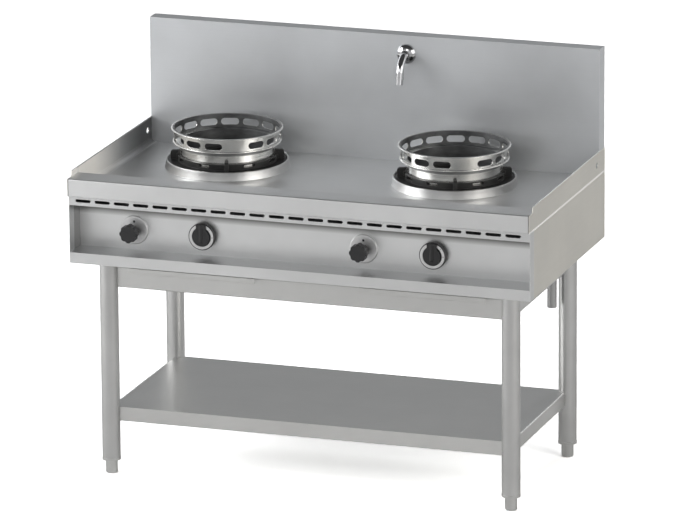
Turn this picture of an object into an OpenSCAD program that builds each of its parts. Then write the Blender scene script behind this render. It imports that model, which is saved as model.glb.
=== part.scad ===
// Two-burner wok range: a stainless cabinet with a sunken worktop and a backsplash, on a tubular stand.
// Origin at the middle of the footprint on the floor, +X to the right, +Y to the back, +Z up. Millimetres.

/* [Overall] */
// Width over the side panels
width = 1310; // [1290:5:1400]
// Depth from the apron face to the back edge
depth = 700; // [690:5:760]
// Height of the front rim above the floor
worktop_h = 850; // [820:5:900]
// Thickness of the folded steel sheet
sheet = 1.5; // [1:0.1:2]

/* [Worktop] */
// Height of the folded apron
apron_h = 50; // [45:1:60]
// How far the apron stands in front of the cabinet
apron_proud = 10; // [6:0.5:14]
// Depth of the flat rim, from the apron face
rim_w = 80; // [60:1:100]
// Depth of the well below the rim
well_d = 55; // [50:1:58]
// Rise of the side guards above the rim
guard_rise = 16; // [10:1:40]
// Setback of the guard's raised part from the apron face
guard_setback = 30; // [20:1:50]
// Length of the guard's sloped front end
guard_slope = 4; // [3:1:25]
// Height of the open joint below each guard
guard_joint = 2.4; // [1:0.1:4]
// Diameter of the round port in each guard
port_d = 18; // [12:1:24]
// Distance of the port from the back edge
port_from_back = 76; // [65:1:100]
// Height of the port above the well floor
port_up = 38.5; // [30:0.5:45]

/* [Backsplash] */
// Rise of the backsplash above the rim
splash_rise = 302; // [290:1:400]
// Thickness of the backsplash box
splash_t = 45; // [40:1:60]
// Width of the folded edge flanges
flange_w = 20; // [16:1:30]

/* [Cabinet] */
// Height of the cabinet below the apron
cabinet_h = 188; // [184:1:210]
// Height of the slotted vent strip
strip_h = 25; // [22:1:32]
// Height of the rail below the controls
rail_h = 30; // [20:1:40]
// Setback of the control panel behind the cabinet front
recess = 80; // [70:1:90]
// Length of the front frame's return along each side
frame_return = 34; // [26:1:60]
// Number of vent slots
vent_count = 23; // [15:1:23]
// Length of a vent slot
vent_len = 44; // [30:1:47]
// Height of a vent slot
vent_h = 8.5; // [5:0.5:10]
// Distance from the end of the cabinet to the middle of the first slot
vent_margin = 44.5; // [40:0.5:60]
// Sideways shift of the row of vent slots
vent_shift = -3; // [-8:1:8]
// Height of the slots above the lower edge of the strip
vent_up = 13.5; // [11:0.5:15]

/* [Stand] */
// Outer diameter of a leg
leg_d = 51; // [45:0.5:60]
// Wall of a leg tube
leg_wall = 1.5; // [1.2:0.1:3]
// Distance of a leg's axis from the side of the cabinet
leg_in = 80.5; // [60:0.5:90]
// Distance of the front leg axes from the apron face
leg_in_front = 96; // [85:1:120]
// Distance of the rear leg axes from the back edge
leg_in_back = 83; // [60:1:98]
// Height of the stand rails
stand_rail_h = 59; // [40:1:80]
// Flange of the stand rails
stand_flange = 15; // [10:1:15]
// Height of the undershelf's top
shelf_top = 189; // [160:1:300]
// Height of the undershelf's turned-down edge
shelf_edge = 40; // [25:1:60]
// Diameter of a foot
foot_d = 34; // [28:1:44]
// Height of a foot below its bush
foot_h = 38; // [30:1:50]
// Diameter of the collar below a leg
bush_d = 52.6; // [51:0.2:60]
// Height of the collar below a leg
bush_h = 7; // [4:1:12]
// Diameter of a foot's threaded stem
stem_d = 12; // [10:1:16]

/* [Burners] */
// Distance between the two burners beyond half the width
pitch_extra = 2; // [-4:1:8]
// Sideways shift of both burners
burner_shift = -30; // [-36:1:0]
// Distance of the burner axes from the back edge
burner_from_back = 238; // [230:1:260]
// Outer radius of the trim ring at its top
trim_r = 169.5; // [160:0.5:180]
// Extra radius of the trim ring at its foot
trim_flare = 2.7; // [1:0.1:5]
// Height of the trim ring
trim_h = 24.2; // [23:0.2:34]
// Wall of the trim ring at its top
trim_wall = 4.5; // [3:0.5:8]
// Outer radius of the wok ring's upper band
ring_r = 148; // [143:0.5:152]
// Overhang of the wok ring's lip
lip_out = 7; // [3:0.2:10]
// Outer radius of the wok ring's lower band
low_r = 131; // [125:0.5:136]
// Wall of the wok ring
ring_wall = 2.5; // [1.5:0.1:4]
// Height of the wok ring's top edge above the well floor
ring_top = 112; // [100:1:130]
// Height of the upper band
band_h = 41; // [40:1:55]
// Length of a slot in the wok ring
ring_slot_len = 50; // [40:1:53]
// Height of a slot in the wok ring
ring_slot_h = 18.5; // [14:0.5:24]
// Thickness of the ribs of the cast ring
rib_t = 10; // [6:0.5:14]
// Height of the ribs' tops above the well floor
rib_top = 47; // [42:1:56]
// Radius of a burner head
head_r = 85; // [75:1:95]
// Height of a burner head
head_h = 80; // [70:1:82]
// Outer radius of a mixing tube
tube_r = 18; // [14:0.5:20]
// Height of the mixing tubes above the underside of the heads
tube_up = 30; // [28:1:36]

/* [Controls] */
// Height of the knobs above the bottom of the cabinet
knob_up = 85.5; // [80:0.5:88]
// Sideways place of the main knobs from the middle of their half
main_x = 32.5; // [20:0.5:45]
// Sideways place of the pilot knobs from the middle of their half
pilot_x = -166.5; // [-180:0.5:-160]
// Radius of a main knob
main_r = 37.2; // [32:0.2:42]
// Depth of a main knob without its grip
main_len = 14.5; // [14:0.5:22]
// Width of the dial ring
dial_w = 7.5; // [4:0.5:9]
// Width of the dark edge outside the dial ring
dial_edge = 2.5; // [2:0.5:4]
// Radius of a pilot knob
pilot_r = 25; // [20:0.5:28]
// Length of a pilot knob
pilot_len = 45; // [38:0.5:50]
// Length of a pilot knob's neck
neck_len = 18; // [10:0.5:22]
// Radius of a pilot bezel
bezel_r = 39.8; // [34:0.2:44]
// Thickness of a pilot bezel
bezel_t = 5; // [3:0.5:7]
// Travel of a knob when it is pushed in
push_travel = 4; // [2:0.5:5]
// Diameter of a valve spindle
spindle_d = 8; // [6:0.5:10]

/* [Tap] */
// Sideways place of the tap
tap_x = 98; // [-60:1:150]
// Height of the tap above the rim
tap_up = 250; // [150:1:270]
// Outer radius of the spout
spout_r = 10.5; // [8:0.5:12]
// Bore radius of the nozzle and of the tail
spout_bore = 7; // [5:0.5:7.5]
// Bend radius of the spout
spout_bend = 52; // [40:1:60]
// Angle of the spout's bend
spout_angle = 80; // [70:1:90]
// Length of the straight end of the spout
spout_drop = 10; // [5:1:30]
// Radius of the rosette
rosette_r = 28; // [22:0.5:32]
// Depth of the rosette
rosette_t = 16; // [10:0.5:20]

/* [Drip trays] */
// Width of a tray's front lip
lip_w = 364; // [340:2:380]
// Height of a tray's front lip
lip_h = 12; // [10:0.5:16]
// Distance of the lip in front of the stand rail
lip_front = 22.5; // [15:0.5:24]
// Height of a tray's walls
tray_h = 17; // [12:0.5:18]
// Gap below the cabinet in which the trays run
tray_gap = 24; // [23:0.5:30]
// Distance of a tray's back from the rear leg axes
tray_rear = 51; // [48:1:120]
// Diameter of the drip hole below each burner
drip_d = 260; // [200:5:270]

/* [Gas] */
// Outer radius of the gas pipe
pipe_r = 13.2; // [10:0.2:13.6]
// Wall of the gas pipe
pipe_wall = 2.7; // [2:0.1:4]
// Gap between the gas inlet and the side rail of the stand
inlet_gap = 2.8; // [1:0.1:8]
// Distance of the gas inlet from the back edge
inlet_from_back = 130; // [118:1:160]
// How far the gas inlet hangs below the cabinet
inlet_drop = 175; // [120:1:220]

/* [Hidden] */
// Clearances between pieces
seam = 0.2;
gap = 0.3;
run = 0.05;
over = 1;
slot_through = 8;
// Roundness of circles
fine = 96;
coarse = 48;
// Chords in each bend of a folded sheet
bend_steps = 5;
bend_r = 3;
cove_r = 10;

// Levels and planes of the cabinet
half_w = width / 2;
inner_w = half_w - sheet;
front_y = -depth / 2;
back_y = depth / 2;
body_y = front_y + apron_proud;
panel_y = body_y + recess;
apron_z = worktop_h - apron_h;
cab_z = apron_z - cabinet_h;
base_z = cab_z + sheet;
floor_z = worktop_h - well_d;
guard_z = worktop_h + guard_rise;
splash_z = worktop_h + splash_rise;
splash_y = back_y - splash_t;
strip_z = apron_z - strip_h;
rail_z = cab_z + rail_h;
rim_y = front_y + rim_w;
vent_pitch = (width - 2 * vent_margin) / (vent_count - 1);
hem_w = 30;
frame_flange = 40;
panel_lap = 10;
panel_top = min(strip_z + panel_lap, floor_z - 2 * sheet - gap);
port_y = back_y - port_from_back;
port_z = floor_z + port_up;

// Rear cover
screw_head_h = 2;
rear_y = back_y - sheet - screw_head_h - gap;
screw_r = 2.1;
screw_head_r = 4.5;
screw_len = 5;
screw_rows = 5;
screw_x = inner_w - sheet - flange_w / 2;
screw_step = (splash_z - rail_z - 2 * flange_w) / (screw_rows - 1);
screw_z = [for (i = [0 : screw_rows - 1]) rail_z + i * screw_step];
rear_vents = 8;
rear_vent_pitch = 40;
rear_vent_len = 70;

// Stand
leg_x = half_w - leg_in;
leg_front_y = front_y + leg_in_front;
leg_back_y = back_y - leg_in_back;
leg_r = leg_d / 2;
leg_z = foot_h + bush_h;
plug_h = 34;
stem_up = 28;
foot_chamfer = 2;
stand_top = cab_z - tray_gap;
stand_bottom = stand_top - stand_rail_h;
rail_t = 2;
shelf_inset = 1;
shelf_return = 15;

// Burners
burner_y = back_y - burner_from_back;
burner_pitch = half_w + pitch_extra;
trim_in = trim_r - trim_wall;
seat_h = 22;
seat_rim = 2;
seat_in = 118;
seat_under = 8;
hole_r = 150;
trim_steps = [[0, 1], [3, 0.75], [12, 0.2], [20, 0]];
seat_bevel = 4;
collar_gap = 2;
collar_in = low_r + collar_gap;
collar_t = 6.5;
collar_top = 38.5;
rib_lap = 1;
rib_in = collar_in + rib_lap;
rib_back = 8.5;
rib_out = trim_in - rib_back;
rib_round = 8;
rib_angle = -71.5;
rib_count = 4;
window_angle = 27;
window_len = 34;
window_h = 8;
window_z = 31.5;
notch_angle = 9;
notch_w = 22;
lip_t = 2.6;
bead_r = 2.5;
bead_proud = 2.7;
step_up = ring_top - band_h;
ring_slot_low = 1.7;
ring_slot_up = step_up + band_h / 2 - ring_slot_low;
ring_angle = -61.6;
slot_places = 15;
head_below = 10;
head_z = floor_z - head_h - head_below;
head_wall = 8;
head_foot = 15;
head_edge = 7;
head_deck = 10;
head_cove = 4;
socket_wall = 6;
socket_r = tube_r + socket_wall;
socket_len = 26;
// Rows of flame ports: distance from the head's edge and number of ports
port_rows = [[17, 28], [40, 14]];
port_r = 2.5;
tube_wall = 3.5;
tube_z = head_z + tube_up;
tube_bore = tube_r - tube_wall;
bell_flare = 9;
bell_r = tube_r + bell_flare;
bell_len = 15;
bridge_half = 190;
bridge_w = 50;
bridge_t = 3;
bridge_foot = 25;

// Controls
knob_z = cab_z + knob_up;
spindle_r = spindle_d / 2;
push_spare = 0.5;
push_gap = push_travel + push_spare;
spindle_free = 2;
spindle_hole = spindle_r + spindle_free;
grip_rise = 5;
grip_gap = 3;
pointer_w = 28;
dial_out = main_r - dial_edge;
dial_in = dial_out - dial_w;
grip_r = dial_in - grip_gap;
dial_t = 1.2;
dial_sink = 1;
knob_bore = 12;
knob_edge = 1.5;
neck_r = 13;
neck_slope = 4;
flute_count = 8;
flute_r = 9;
flute_out = 6;
flute_at = pilot_r + flute_out;
dot_r = 1.9;
dot_at = 24;
bezel_steps = [[0, 0], [0, 0.6], [0.25, 0.9], [0.6, 1]];
valve_r = 14;
pilot_valve_r = 12;
collar_r = 18;
valve_collar = 4;
outlet_r = 8;
outlet_up = 20;
nipple_r = 8;
spindle_in = 26;

// Gas
manifold_in = 50;
valve_in = 24;
manifold_y = panel_y + manifold_in;
valve_y = panel_y + valve_in;
inlet_x = leg_x - stand_flange - pipe_r - inlet_gap;
inlet_y = back_y - inlet_from_back;
inlet_z = cab_z - inlet_drop;
inlet_split = 20;
manifold_end = 25;
jet_pipe_r = 5;
jet_r = 8;
jet_len = 20;
jet_in = 20;
jet_lap = 5;
jet_y = manifold_y + jet_in;
bell_y = jet_y + jet_len - jet_lap;
pilot_pipe_r = 3;
pilot_tip_r = 5;
pilot_over = 15;
pilot_z = tube_z + pilot_over;
pilot_tip = 30;
pilot_gap = 12;
pilot_side = head_r + pilot_gap;
pilot_back = 22;

// Tap
tap_z = worktop_h + tap_up;
sleeve_t = 0.5;
thread_r = 10.4;
hose_r = 9.4;
tail_inset = 6;
tail_len = splash_t - tail_inset;
spout_straight = 8;
sleeve_r = spout_r + sleeve_t;
sleeve_lap = 2;
nozzle_rim = 1.5;
nozzle_collar_r = spout_r + nozzle_rim;
nozzle_collar = 5;
nozzle_len = 20;
nut_r = 17;
nut_t = 8;
thread_spare = 2;
thread_len = sheet + nut_t + thread_spare;
tail_access = 24;
rosette_steps = [0 : 10 : 60];
bend_y = splash_y - spout_straight;
bend_z = tap_z - spout_bend;
drop_dir = [0, -cos(spout_angle), -sin(spout_angle)];
drop_from = [tap_x, bend_y - spout_bend * sin(spout_angle), bend_z + spout_bend * cos(spout_angle)];
drop_to = drop_from + drop_dir * spout_drop;

// Drip trays
lip_lap = 6;
tray_half = lip_w / 2 - lip_lap;
tray_z = stand_top + sheet + gap;
lip_y = leg_front_y - lip_front;
tray_behind = 4;
tray_wall_y = leg_front_y + tray_behind;
tray_back_y = leg_back_y - tray_rear;
lip_bead = 2;
runner_gap = 4;
runner_half = tray_half + runner_gap;
runner_foot = 20;

// Sideways places in the left (-1) and right (1) half
function half_x(side) = side * burner_pitch / 2;
function burner_x(side) = half_x(side) + burner_shift;

// Plane geometry of folded sheets
function unit(v) = v / norm(v);
function side_of(a, b) = let (d = unit(b - a)) [-d[1], d[0]];
function arc(m, r, a0, a1) =
    [for (i = [0 : bend_steps])
        let (a = a0 + (a1 - a0) * i / bend_steps)
        m + r * [cos(a), sin(a)]];
function short_turn(a) = a > 180 ? a - 360 : a < -180 ? a + 360 : a;
function bend(a, b, c, r) =
    let (
        u = unit(a - b),
        v = unit(c - b),
        half = acos(u * v) / 2,
        m = b + unit(u + v) * r / sin(half),
        p = b + u * r / tan(half) - m,
        q = b + v * r / tan(half) - m,
        a0 = atan2(p[1], p[0])
    ) arc(m, r, a0, a0 + short_turn(atan2(q[1], q[0]) - a0));
function bent(path, radii) =
    [for (i = [0 : len(path) - 1])
        each i == 0 || i == len(path) - 1
            ? [path[i]]
            : bend(path[i - 1], path[i], path[i + 1], radii[i - 1])];
function shifted(path, d) =
    [for (i = [0 : len(path) - 1])
        let (
            last = len(path) - 1,
            n0 = side_of(path[max(i - 1, 0)], path[max(i, 1)]),
            n1 = side_of(path[min(i, last - 1)], path[min(i + 1, last)]),
            n = unit(n0 + n1)
        ) path[i] + n * d / (n * n1)];
function reversed(list) = [for (i = [len(list) - 1 : -1 : 0]) list[i]];

// A strip of sheet of thickness t along a path with bends of the given radii
module folded(path, radii, t) {
    line = bent(path, radii);
    polygon(concat(shifted(line, t / 2), reversed(shifted(line, -t / 2))));
}

// A profile in Y and Z carried along X, centred
module along_x(length) {
    rotate([90, 0, 90])
        linear_extrude(length, center = true)
            children();
}

// A profile in X and Z carried along Y from y0 to y1
module along_y(y0, y1) {
    translate([0, y1, 0])
        rotate([90, 0, 0])
            linear_extrude(y1 - y0)
                children();
}

module block(low, high) {
    translate(low)
        cube(high - low);
}

module rod(a, b, r) {
    d = b - a;
    translate(a)
        rotate([0, acos(d[2] / norm(d)), atan2(d[1], d[0])])
            cylinder(h = norm(d), r = r, $fn = coarse);
}

module rod_y(x, y0, y1, z, r) {
    translate([x, y0, z])
        rotate([-90, 0, 0])
            cylinder(h = y1 - y0, r = r, $fn = fine);
}

module rod_z(x, y, z0, z1, r) {
    translate([x, y, z0])
        cylinder(h = z1 - z0, r = r, $fn = fine);
}

// A pipe through a list of points, with round elbows
module pipe(points, r) {
    for (i = [0 : len(points) - 2])
        rod(points[i], points[i + 1], r);
    for (i = [1 : len(points) - 2])
        translate(points[i])
            sphere(r = r, $fn = coarse);
}

// A slot with round ends, length along X, height along Y, cut through in Z
module slot_cutter(length, height, through) {
    straight = length - height;
    translate([-straight / 2, -height / 2, -through / 2])
        cube([straight, height, through]);
    for (end = [-1, 1])
        translate([end * straight / 2, 0, -through / 2])
            cylinder(h = through, d = height, $fn = coarse);
}

module each_leg() {
    for (x = [-leg_x, leg_x])
        for (y = [leg_front_y, leg_back_y])
            translate([x, y, 0])
                children();
}

module both_sides() {
    for (side = [-1, 1])
        translate([burner_x(side), burner_y, 0])
            children();
}

// Places a piece on the control panel: local Z points out of the panel, local Y up
module on_panel(x, stand_off) {
    translate([x, panel_y - stand_off, knob_z])
        rotate([90, 0, 0])
            children();
}

// Stand

module leg(x, y) {
    color("gainsboro")
        difference() {
            rod_z(x, y, leg_z, base_z, leg_r);
            rod_z(x, y, leg_z - over, base_z + over, leg_r - leg_wall);
        }
}

module leg_bushes() {
    color("silver")
        each_leg()
            difference() {
                union() {
                    rod_z(0, 0, foot_h, leg_z, bush_d / 2);
                    rod_z(0, 0, leg_z - over, leg_z + plug_h, leg_r - leg_wall - seam);
                }
                rod_z(0, 0, foot_h - over, leg_z + plug_h + over, stem_d / 2 + run);
            }
}

module foot(x, y) {
    pad_h = foot_h - gap;
    r = foot_d / 2;
    color("silver")
        translate([x, y, 0]) {
            rotate_extrude($fn = fine)
                polygon([[0, 0], [r - foot_chamfer, 0], [r, foot_chamfer], [r, pad_h - foot_chamfer],
                    [r - foot_chamfer, pad_h], [0, pad_h]]);
            rod_z(0, 0, pad_h - over, leg_z + stem_up, stem_d / 2);
        }
}

// Channel with its web on the plane x = 0 or y = 0 and its flanges on the positive side
module channel() {
    mid = rail_t / 2;
    folded([[stand_flange, stand_top - mid], [mid, stand_top - mid], [mid, stand_bottom + mid],
        [stand_flange, stand_bottom + mid]], [bend_r, bend_r], rail_t);
}

module leg_cuts() {
    each_leg()
        rod_z(0, 0, -over, cab_z, leg_r + run);
}

module stand_rail_x(y, inward) {
    color("gainsboro")
        difference() {
            translate([0, y, 0])
                mirror([0, inward < 0 ? 1 : 0, 0])
                    along_x(2 * leg_x)
                        channel();
            leg_cuts();
        }
}

module stand_rail_y(side) {
    color("gainsboro")
        difference() {
            translate([side * leg_x, 0, 0])
                mirror([side > 0 ? 1 : 0, 0, 0])
                    along_y(leg_front_y, leg_back_y)
                        channel();
            leg_cuts();
        }
}

module undershelf() {
    x = leg_x - shelf_inset;
    y0 = leg_front_y + shelf_inset;
    y1 = leg_back_y - shelf_inset;
    low = shelf_top - shelf_edge;
    color("silver")
        difference() {
            block([-x, y0, low], [x, y1, shelf_top]);
            block([-x + sheet, y0 + sheet, low + sheet], [x - sheet, y1 - sheet, shelf_top - sheet]);
            block([-x + shelf_return, y0 + shelf_return, low - over],
                [x - shelf_return, y1 - shelf_return, shelf_top - sheet]);
            leg_cuts();
        }
}

// Cabinet

module side_panel(side) {
    y0 = body_y + frame_return + seam;
    color("silver")
        mirror([side < 0 ? 1 : 0, 0, 0])
            difference() {
                union() {
                    block([inner_w, y0, cab_z], [half_w, back_y, apron_z]);
                    block([inner_w - flange_w, y0, cab_z], [inner_w + seam, rear_y, base_z]);
                    block([inner_w - flange_w, rear_y - sheet, cab_z],
                        [inner_w + seam, rear_y, floor_z - 2 * sheet]);
                }
                screw_holes(screw_r + run);
            }
}

module front_frame() {
    color("lightgray")
        difference() {
            union() {
                block([-half_w, body_y, strip_z], [half_w, body_y + sheet, apron_z]);
                block([-half_w, body_y, cab_z], [half_w, body_y + sheet, rail_z]);
                block([-inner_w, body_y, rail_z - sheet], [inner_w, panel_y, rail_z]);
                block([-inner_w, body_y, strip_z], [inner_w, panel_y, strip_z + sheet]);
                block([-inner_w, body_y, apron_z - sheet], [inner_w, body_y + frame_flange, apron_z]);
                block([-inner_w, body_y, cab_z], [inner_w, body_y + flange_w, base_z]);
                block([-half_w, body_y, cab_z], [-inner_w, body_y + frame_return, apron_z]);
                block([inner_w, body_y, cab_z], [half_w, body_y + frame_return, apron_z]);
            }
            for (i = [0 : vent_count - 1])
                translate([vent_shift + (i - (vent_count - 1) / 2) * vent_pitch, body_y, strip_z + vent_up])
                    rotate([90, 0, 0])
                        slot_cutter(vent_len, vent_h, slot_through * sheet);
        }
}

module control_panel() {
    color("lightgray")
        difference() {
            block([-inner_w + seam, panel_y, rail_z - panel_lap],
                [inner_w - seam, panel_y + sheet, panel_top]);
            for (side = [-1, 1])
                for (x = [main_x, pilot_x])
                    rod_y(half_x(side) + x, panel_y - over, panel_y + sheet + over, knob_z, spindle_hole);
        }
}

module base_panel() {
    color("silver")
        difference() {
            block([-inner_w + seam, body_y + sheet + seam, base_z],
                [inner_w - seam, rear_y - sheet - seam, base_z + sheet]);
            both_sides()
                rod_z(0, 0, cab_z, base_z + 2 * sheet, drip_d / 2);
            rod_z(inlet_x, inlet_y, cab_z, base_z + 2 * sheet, pipe_r + gap);
        }
}

module screw_holes(r) {
    for (side = [-1, 1])
        for (z = screw_z)
            rod_y(side * screw_x, rear_y - screw_len, back_y, z, r);
}

module rear_panel() {
    x = inner_w - sheet - 2 * seam;
    color("silver")
        difference() {
            block([-x, rear_y, base_z + sheet + seam], [x, rear_y + sheet, splash_z - sheet - seam]);
            screw_holes(screw_r + gap);
            rod_y(tap_x, rear_y - over, back_y, tap_z, tail_access);
            both_sides()
                for (i = [0 : rear_vents - 1])
                    translate([(i - (rear_vents - 1) / 2) * rear_vent_pitch, rear_y - burner_y, knob_z])
                        rotate([90, 90, 0])
                            slot_cutter(rear_vent_len, vent_h, slot_through * sheet);
        }
}

module panel_screws() {
    color("gray")
        for (side = [-1, 1])
            for (z = screw_z) {
                rod_y(side * screw_x, rear_y + sheet, rear_y + sheet + screw_head_h, z, screw_head_r);
                rod_y(side * screw_x, rear_y + sheet - screw_len, rear_y + sheet + over, z, screw_r);
            }
}

// Worktop

module top_pan() {
    mid = sheet / 2;
    x = inner_w - seam;
    color("silver")
        difference() {
            union() {
                along_x(2 * x)
                    folded([[body_y + hem_w, apron_z + mid], [front_y + mid, apron_z + mid],
                        [front_y + mid, worktop_h - mid], [rim_y - mid, worktop_h - mid],
                        [rim_y - mid, floor_z - mid], [splash_y + panel_lap, floor_z - mid]],
                        [bend_r, bend_r, bend_r, cove_r], sheet);
                for (side = [-1, 1])
                    mirror([side < 0 ? 1 : 0, 0, 0])
                        block([x - sheet, rim_y - mid, floor_z - mid], [x, splash_y - seam, guard_z - sheet]);
            }
            both_sides()
                rod_z(0, 0, floor_z - 3 * sheet, floor_z + sheet, hole_r);
            port_cut();
        }
}

module port_cut() {
    translate([-half_w - over, port_y, port_z])
        rotate([0, 90, 0])
            cylinder(h = width + 2 * over, d = port_d, $fn = fine);
}

module side_guard(side) {
    slope_y = front_y + guard_setback;
    joint_y = body_y + frame_return;
    color("silver")
        difference() {
            translate([side * (half_w - sheet / 2), 0, 0])
                along_x(sheet)
                    polygon([[front_y, apron_z], [front_y, worktop_h], [slope_y, worktop_h],
                        [slope_y + guard_slope, guard_z], [back_y, guard_z],
                        [back_y, apron_z + guard_joint], [joint_y, apron_z + guard_joint],
                        [joint_y, apron_z]]);
            port_cut();
        }
}

module backsplash() {
    x = inner_w - seam;
    inner_x = x - sheet;
    color("silver")
        difference() {
            block([-x, splash_y, floor_z], [x, back_y, splash_z]);
            block([-inner_x, splash_y + sheet, floor_z - over], [inner_x, rear_y - sheet, splash_z - sheet]);
            block([-inner_x + flange_w, splash_y + sheet, floor_z - over],
                [inner_x - flange_w, back_y, splash_z - flange_w]);
            block([-inner_x, rear_y, floor_z - over], [inner_x, back_y + over, splash_z - sheet]);
            rod_y(tap_x, splash_y - over, splash_y + sheet + over, tap_z, thread_r + gap);
            screw_holes(screw_r + run);
        }
}

// Tap

module tap_rosette() {
    inner = max(sleeve_r, thread_r) + gap;
    dome = [for (a = rosette_steps) [rosette_r * cos(a), rosette_t * sin(a)]];
    top = dome[len(dome) - 1][1];
    color("whitesmoke")
        translate([tap_x, splash_y, tap_z])
            rotate([90, 0, 0])
                rotate_extrude($fn = fine)
                    polygon(concat([[inner, 0]], dome, [[inner, top]]));
}

module tap_spout() {
    tail_end = splash_y + tail_len;
    color("whitesmoke")
        difference() {
            union() {
                rod_y(tap_x, splash_y - over, splash_y + thread_len, tap_z, thread_r);
                rod_y(tap_x, splash_y + thread_len - over, tail_end, tap_z, hose_r);
                rod_y(tap_x, bend_y - sleeve_lap, splash_y, tap_z, sleeve_r);
                translate([tap_x, bend_y, bend_z])
                    rotate([0, -90, 180])
                        rotate_extrude(angle = spout_angle, $fn = fine)
                            translate([spout_bend, 0])
                                circle(r = spout_r, $fn = coarse);
                rod(drop_from - drop_dir * sleeve_lap, drop_to, sleeve_r);
            }
            rod_y(tap_x, splash_y + sheet, tail_end + over, tap_z, spout_bore);
        }
}

module tap_nozzle() {
    color("whitesmoke")
        difference() {
            union() {
                rod(drop_to, drop_to + drop_dir * nozzle_collar, nozzle_collar_r);
                rod(drop_to, drop_to + drop_dir * nozzle_len, spout_r);
            }
            rod(drop_to + drop_dir * nozzle_collar, drop_to + drop_dir * (nozzle_len + over), spout_bore);
        }
}

module tap_lock_nut() {
    color("gray")
        difference() {
            translate([tap_x, splash_y + sheet, tap_z])
                rotate([-90, 0, 0])
                    cylinder(h = nut_t, r = nut_r, $fn = 6);
            rod_y(tap_x, splash_y, splash_y + sheet + nut_t + over, tap_z, thread_r + run);
        }
}

// Burners

module trim_ring(side) {
    top = trim_h - trim_wall / 2;
    color("whitesmoke")
        translate([burner_x(side), burner_y, floor_z])
            rotate_extrude($fn = fine) {
                polygon(concat([[trim_in, 0]], [for (p = trim_steps) [trim_r + trim_flare * p[1], p[0]]],
                    [[trim_r, top], [trim_in, top]]));
                translate([trim_r - trim_wall / 2, top])
                    circle(d = trim_wall, $fn = coarse);
            }
}

module cast_ring(side) {
    collar_out = collar_in + collar_t;
    color([0.16, 0.16, 0.16])
        translate([burner_x(side), burner_y, floor_z])
            difference() {
                union() {
                    rotate_extrude($fn = fine)
                        polygon([[seat_in, seat_under], [hole_r - seat_bevel, 0], [trim_in - gap, 0],
                            [trim_in - gap, seat_h - seat_rim], [trim_in - gap - seat_rim, seat_h],
                            [collar_out, seat_h], [collar_out, collar_top], [collar_in, collar_top],
                            [collar_in, seat_h], [seat_in, seat_h]]);
                    for (i = [0 : rib_count - 1])
                        rotate([90, 0, rib_angle + i * 360 / rib_count])
                            linear_extrude(rib_t, center = true)
                                rib_outline();
                }
                for (i = [0 : rib_count - 1])
                    for (turn = [-window_angle, window_angle])
                        rotate([0, 0, rib_angle + turn + i * 360 / rib_count])
                            translate([collar_out, 0, window_z])
                                rotate([90, 0, 90])
                                    slot_cutter(window_len, window_h, 3 * collar_t);
                for (i = [1 : 2 : rib_count - 1])
                    for (turn = [-notch_angle, notch_angle])
                        rotate([0, 0, rib_angle + turn + i * 360 / rib_count])
                            block([collar_in - over, -notch_w / 2, seat_h],
                                [collar_out + over, notch_w / 2, collar_top + over]);
            }
}

module rib_outline() {
    translate([rib_in, seat_h - over])
        square([rib_out - rib_round - rib_in, rib_top - seat_h + over]);
    translate([rib_in, seat_h - over])
        square([rib_out - rib_in, rib_top - rib_round - seat_h + over]);
    translate([rib_out - rib_round, rib_top - rib_round])
        circle(r = rib_round, $fn = coarse);
}

module wok_ring(side) {
    foot_up = seat_h + gap;
    inner = ring_r - ring_wall;
    low_in = low_r - ring_wall;
    lip_end = ring_r + lip_out - lip_t / 2;
    color("gainsboro")
        translate([burner_x(side), burner_y, floor_z])
            difference() {
                rotate_extrude($fn = fine) {
                    translate([low_in, foot_up])
                        square([ring_wall, step_up + ring_wall - foot_up]);
                    translate([low_in, step_up])
                        square([ring_r - low_in, ring_wall]);
                    translate([inner, step_up])
                        square([ring_wall, ring_top - step_up]);
                    translate([inner, ring_top - lip_t])
                        square([lip_end - inner, lip_t]);
                    translate([lip_end, ring_top - lip_t / 2])
                        circle(d = lip_t, $fn = coarse);
                    translate([ring_r + bead_proud - bead_r, step_up + bead_r])
                        circle(r = bead_r, $fn = coarse);
                }
                for (k = [1 : slot_places - 1])
                    ring_slot(ring_angle + k * 360 / slot_places);
            }
}

module ring_slot(turn) {
    rotate([0, 0, turn])
        translate([ring_r, 0, ring_slot_up])
            rotate([90, 0, 90])
                slot_cutter(ring_slot_len, ring_slot_h, slot_through * ring_wall);
}

module burner_head(side) {
    deck = head_h - head_deck;
    inner = head_r - head_wall;
    color([0.2, 0.2, 0.2])
        translate([burner_x(side), burner_y, head_z])
            difference() {
                union() {
                    rotate_extrude($fn = fine)
                        polygon([[0, 0], [head_r - head_foot, 0], [head_r, head_foot], [head_r, deck],
                            [head_r - head_edge, head_h], [0, head_h]]);
                    rod_y(0, -head_r - socket_len, -head_r / 2, tube_z - head_z, socket_r);
                }
                rotate_extrude($fn = fine)
                    polygon([[0, head_wall], [inner - head_foot, head_wall], [inner, head_foot + head_wall],
                        [inner, deck - head_cove], [inner - head_cove, deck], [0, deck]]);
                rod_y(0, -head_r - socket_len - over, -head_r / 2, tube_z - head_z, tube_r + seam);
                for (row = port_rows)
                    for (i = [0 : row[1] - 1])
                        rotate([0, 0, i * 360 / row[1]])
                            rod_z(head_r - row[0], 0, deck - over, head_h + over, port_r);
            }
}

module mixing_tube(side) {
    length = burner_y - head_r - bell_y;
    color("dimgray")
        translate([burner_x(side), bell_y, tube_z])
            rotate([-90, 0, 0])
                rotate_extrude($fn = fine)
                    polygon([[bell_r - tube_wall, 0], [bell_r, 0], [tube_r, bell_len], [tube_r, length],
                        [tube_bore, length], [tube_bore, bell_len]]);
}

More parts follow.
